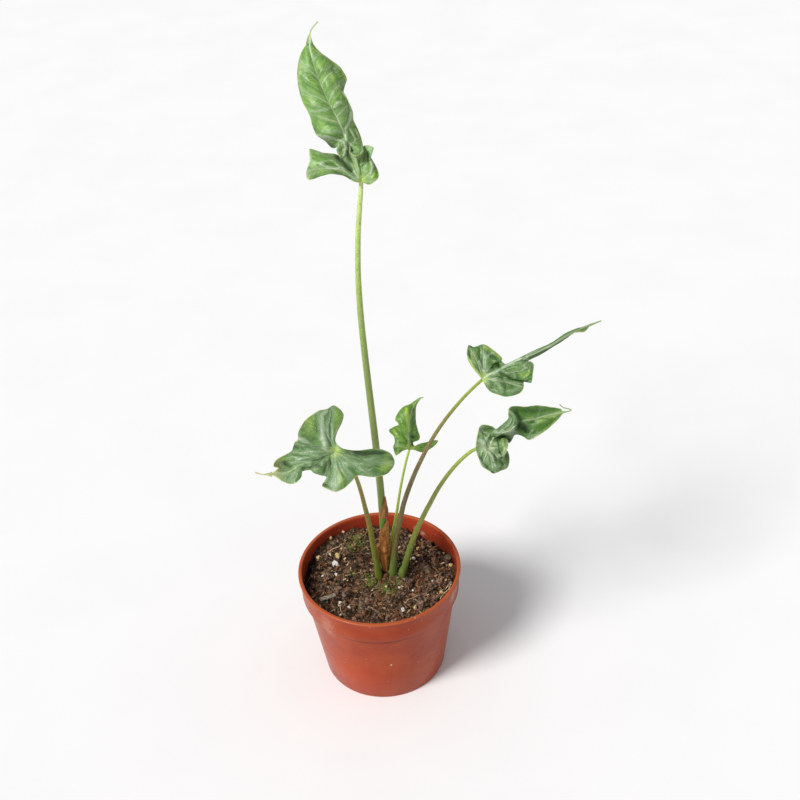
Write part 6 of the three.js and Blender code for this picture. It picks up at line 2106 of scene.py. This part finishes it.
    def round_feet(self, count: int) -> list[Point]:
        """Draws the places and sizes of a count of lumps that lie against each stem."""
        spots: list[Point] = []
        for x, y, radius in self.feet:
            for _ in range(count):
                away, angle = radius + self.draw.uniform(0.3, 2.8), self.draw.uniform(0, math.tau)
                size = self.draw.uniform(0.5, 1.3)
                spots.append((x + away * math.cos(angle), y + away * math.sin(angle), size))
        return spots

    def build(self) -> None:
        """Lays everything, first what is loose all over and then what has its own place."""
        for loose in LOOSE:
            shares = [self.draw.random() ** loose.power for _ in range(loose.count)]
            sizes = [loose.least + loose.more * share for share in shares]
            spots = [(*self.spot(size if loose.margin is None else loose.margin), size) for size in sizes]
            loose.heap.laid(self.soil, spots + self.round_feet(loose.at_each_foot), self.draw)
        for name, finish, count in STRANDS:
            self.strands(name, finish, count)
        for heap, places in PLACED:
            heap.laid(self.soil, places, self.draw)
        for name, finish, places in CHIPS:
            self.chips(name, finish, places)
        self.pale_roots()
        self.moss(MOSS)


LOOSE = (
    Loose(Heap("crumbs", DryFinish.CRUMB, 1, 0.8, 0.35), 2600, 0.4, 1.3, 3, at_each_foot=34),
    Loose(Heap("clods", DryFinish.CLOD, 3, 0.7, 0.5), 120, 1.2, 2.4, 2),
    Loose(Heap("splinters", DryFinish.SPLINTER, 1, 0.22, 0.4, 0.1, 0.28), 1100, 0.8, 2.4, 2, 2.0),
    Loose(Heap("chaff", DryFinish.CHAFF, 1, 0.2, 0.4, 0.0, 0.35), 420, 0.5, 1.6, 2, 2.0),
)
STRANDS = (("fibres", DryFinish.FIBRE, 230), ("rootlets", DryFinish.ROOTLET, 90))
PLACED = (
    (Heap("perlite", DryFinish.PERLITE, 3, 0.75, 0.3), (
        (-37.8, 26.3, 1.5), (-33.6, 15.1, 2.3), (-43, 8.4, 1.2), (-33, 6.3, 1.5), (-27.3, 13.7, 0.7),
        (-27.3, 5.1, 0.8), (-21.9, 8.3, 0.8), (-29.5, -24.2, 1.1), (-29.4, -35.4, 1.1), (-8.1, -47.1, 1.1),
        (25.8, 19.6, 1.2), (39.2, -5.9, 1.3), (14.1, -13.9, 1.2), (16, -14.2, 1), (17.5, -9.6, 0.9),
        (23.9, -16.1, 0.9), (25.1, -14, 0.8), (15.9, -37.3, 1.4), (-22.9, -29.7, 1.3), (-5.1, -38.4, 0.8),
        (24.1, -45.5, 0.7),
    )),
    (Heap("beads", DryFinish.BEAD, 3, 0.85, 0.2), (
        (-27.5, 49.3, 1.4), (-31.4, 22.4, 2.5), (-46.5, 22.8, 1.6), (-28.6, 31.1, 1.3), (-47.7, 33.5, 0.8),
        (-37, 42.2, 1.4), (24.6, 43.7, 1.7), (29.5, 32, 1.5), (29.5, 24.3, 1.1), (25.2, 14.7, 0.9),
        (49, 24.4, 0.9), (53.2, 8, 1.9), (44.4, -18.3, 1.6), (41.2, -19.2, 1.2), (24.6, -32.3, 2.0),
        (4.3, -13.1, 1.2), (-26.8, 27.6, 0.7),
    )),
    (Heap("pebbles", DryFinish.STONE, 3, 0.7, 0.3), (
        (44.7, 26, 1.7), (51.4, 16.5, 2.6), (52, -10.6, 1.5), (-8.3, -20.4, 1.1), (-35, 36, 1.3),
    )),
    (Heap("crown_scales", DryFinish.CORM, 3, 0.75, 0.35, 0.35), (
        (-0.0, -7.9, 1.7), (4.8, -4.6, 2.0), (10.3, -8.2, 1.5),
    )),
)
CHIPS = (
    ("bark", DryFinish.BARK, (
        (-44, 6, 8, 4, 28), (32.6, -34.9, 3, 1.6, 10), (-2, 33, 6, 3, 60), (38, 36, 5, 3, -20),
        (8, 46, 6, 2.5, 5), (-47, -3, 7, 2.6, 12), (-38, 10, 6, 2.4, 35), (-27, 14, 5, 2, -10),
        (-21, -30, 5, 2.2, 20), (-37, -14, 5, 2, 50),
    )),
    ("grey_bark", DryFinish.GREY_BARK, ((-38.7, -18.1, 12.6, 3.4, 28),)),
)
PALE_ROOTS = (
    (52.6, -10.5, -110, 17, 0.5), (52, -9.3, -112, 15, 0.35), (-29.5, -24.2, -90, 10, 0.3),
    (-40, 28, 38, 19, 0.32), (-40, -35, 22, 8, 0.3), (-21, -46, 43, 8, 0.26), (-27, 1, 32, 16, 0.24),
    (-9, -30, -38, 14, 0.24), (17, -29, 46, 13, 0.22),
)
MOSS = (
    (-16, 40, 5, 110), (-22, 31, 2.5, 40), (4, -15, 2.6, 46), (8, -17, 2.2, 36), (-19, 5.6, 1.8, 16),
    (-16, -29.5, 1.4, 10), (-7, -8, 2.8, 50), (-9, 1, 2.4, 44), (0, -11, 2, 30), (13, -10, 1.8, 20),
    (20, -9, 1.5, 16),
)


# ---- floor, light and camera


@dataclass(frozen=True)
class Studio:
    """Pale floor, soft light and the camera that looks down at the leaves."""

    eye: Point = (22.1, -650.5, 713.0)
    pitch: float = 35.93
    roll: float = -3.2
    lens: float = 54.36
    sensor: float = 36.0
    floor: float = 6000.0
    floor_tints: tuple[str, str] = ("#f7f7f7", "#f9f9f9")
    sky_tint: str = "#fbfcff"
    sky_strength: float = 0.4
    sun_way: Point = (-0.56, -0.42, 0.72)
    sun_spread: float = 20.0
    sun_power: float = 2.85
    sun_tint: str = "#fffefc"

    def camera(self) -> None:
        """Places the camera."""
        pitch, roll = math.radians(self.pitch), math.radians(self.roll)
        ahead = Vector((0.0, math.cos(pitch), -math.sin(pitch)))
        level = Vector((1.0, 0.0, 0.0))
        above = level.cross(ahead)
        right = math.cos(roll) * level + math.sin(roll) * above
        up = -math.sin(roll) * level + math.cos(roll) * above
        frame = Matrix((right, up, -ahead)).transposed().to_4x4()
        frame.translation = Vector(self.eye) * MM
        data = bpy.data.cameras.new("camera")
        data.lens = self.lens
        data.sensor_width = self.sensor
        camera = bpy.data.objects.new("camera", data)
        camera.matrix_world = frame
        bpy.context.scene.collection.objects.link(camera)
        bpy.context.scene.camera = camera

    def sun(self) -> None:
        """Sets up the one far lamp, as if from a window to the left of the viewer."""
        data = bpy.data.lights.new("window", "SUN")
        data.angle = math.radians(self.sun_spread)
        data.energy = self.sun_power
        data.color = tint(self.sun_tint)[:3]
        lamp = bpy.data.objects.new("window", data)
        lamp.rotation_mode = "QUATERNION"
        lamp.rotation_quaternion = Vector(self.sun_way).to_track_quat("Z", "Y")
        bpy.context.scene.collection.objects.link(lamp)

    def build(self) -> None:
        """Builds the floor, the light and the camera."""
        bm = bmesh.new()
        bmesh.ops.create_grid(bm, x_segments=1, y_segments=1, size=self.floor / 2)
        floor = drafted("floor", bm)
        finish = Finish("floor")
        colour = finish.mix(finish.fade(finish.cloud(0.01, 2.0), 0.3, 0.7), *self.floor_tints)
        floor.data.materials.append(finish.made(colour, 0.9, Specular_IOR_Level=0.2))
        world = bpy.data.worlds.new("studio")
        world.use_nodes = True
        sky = world.node_tree.nodes["Background"].inputs
        sky["Color"].default_value = tint(self.sky_tint)
        sky["Strength"].default_value = self.sky_strength
        bpy.context.scene.world = world
        self.sun()
        self.camera()
        bpy.context.scene.view_settings.view_transform = "Standard"


def main() -> None:
    """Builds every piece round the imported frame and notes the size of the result."""
    logging.basicConfig(level=logging.INFO, format="%(name)s %(message)s", stream=sys.stdout)
    noise.seed_set(NOISE_SEED)
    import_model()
    Studio().build()
    Pot().build()
    feet = tuple((*stem.route[1][:2], stem.route[1][3]) for stem in STEMS.values())
    soil = Soil(feet=feet)
    soil.build()
    Corm().build()
    for name, stem in STEMS.items():
        stem.build(BLADES[name])
        BLADES[name].build()
    for sheath in SHEATHS:
        sheath.build(STEMS["tall"])
    Scatter(soil, feet).build()


if __name__ == "__main__":
    main()
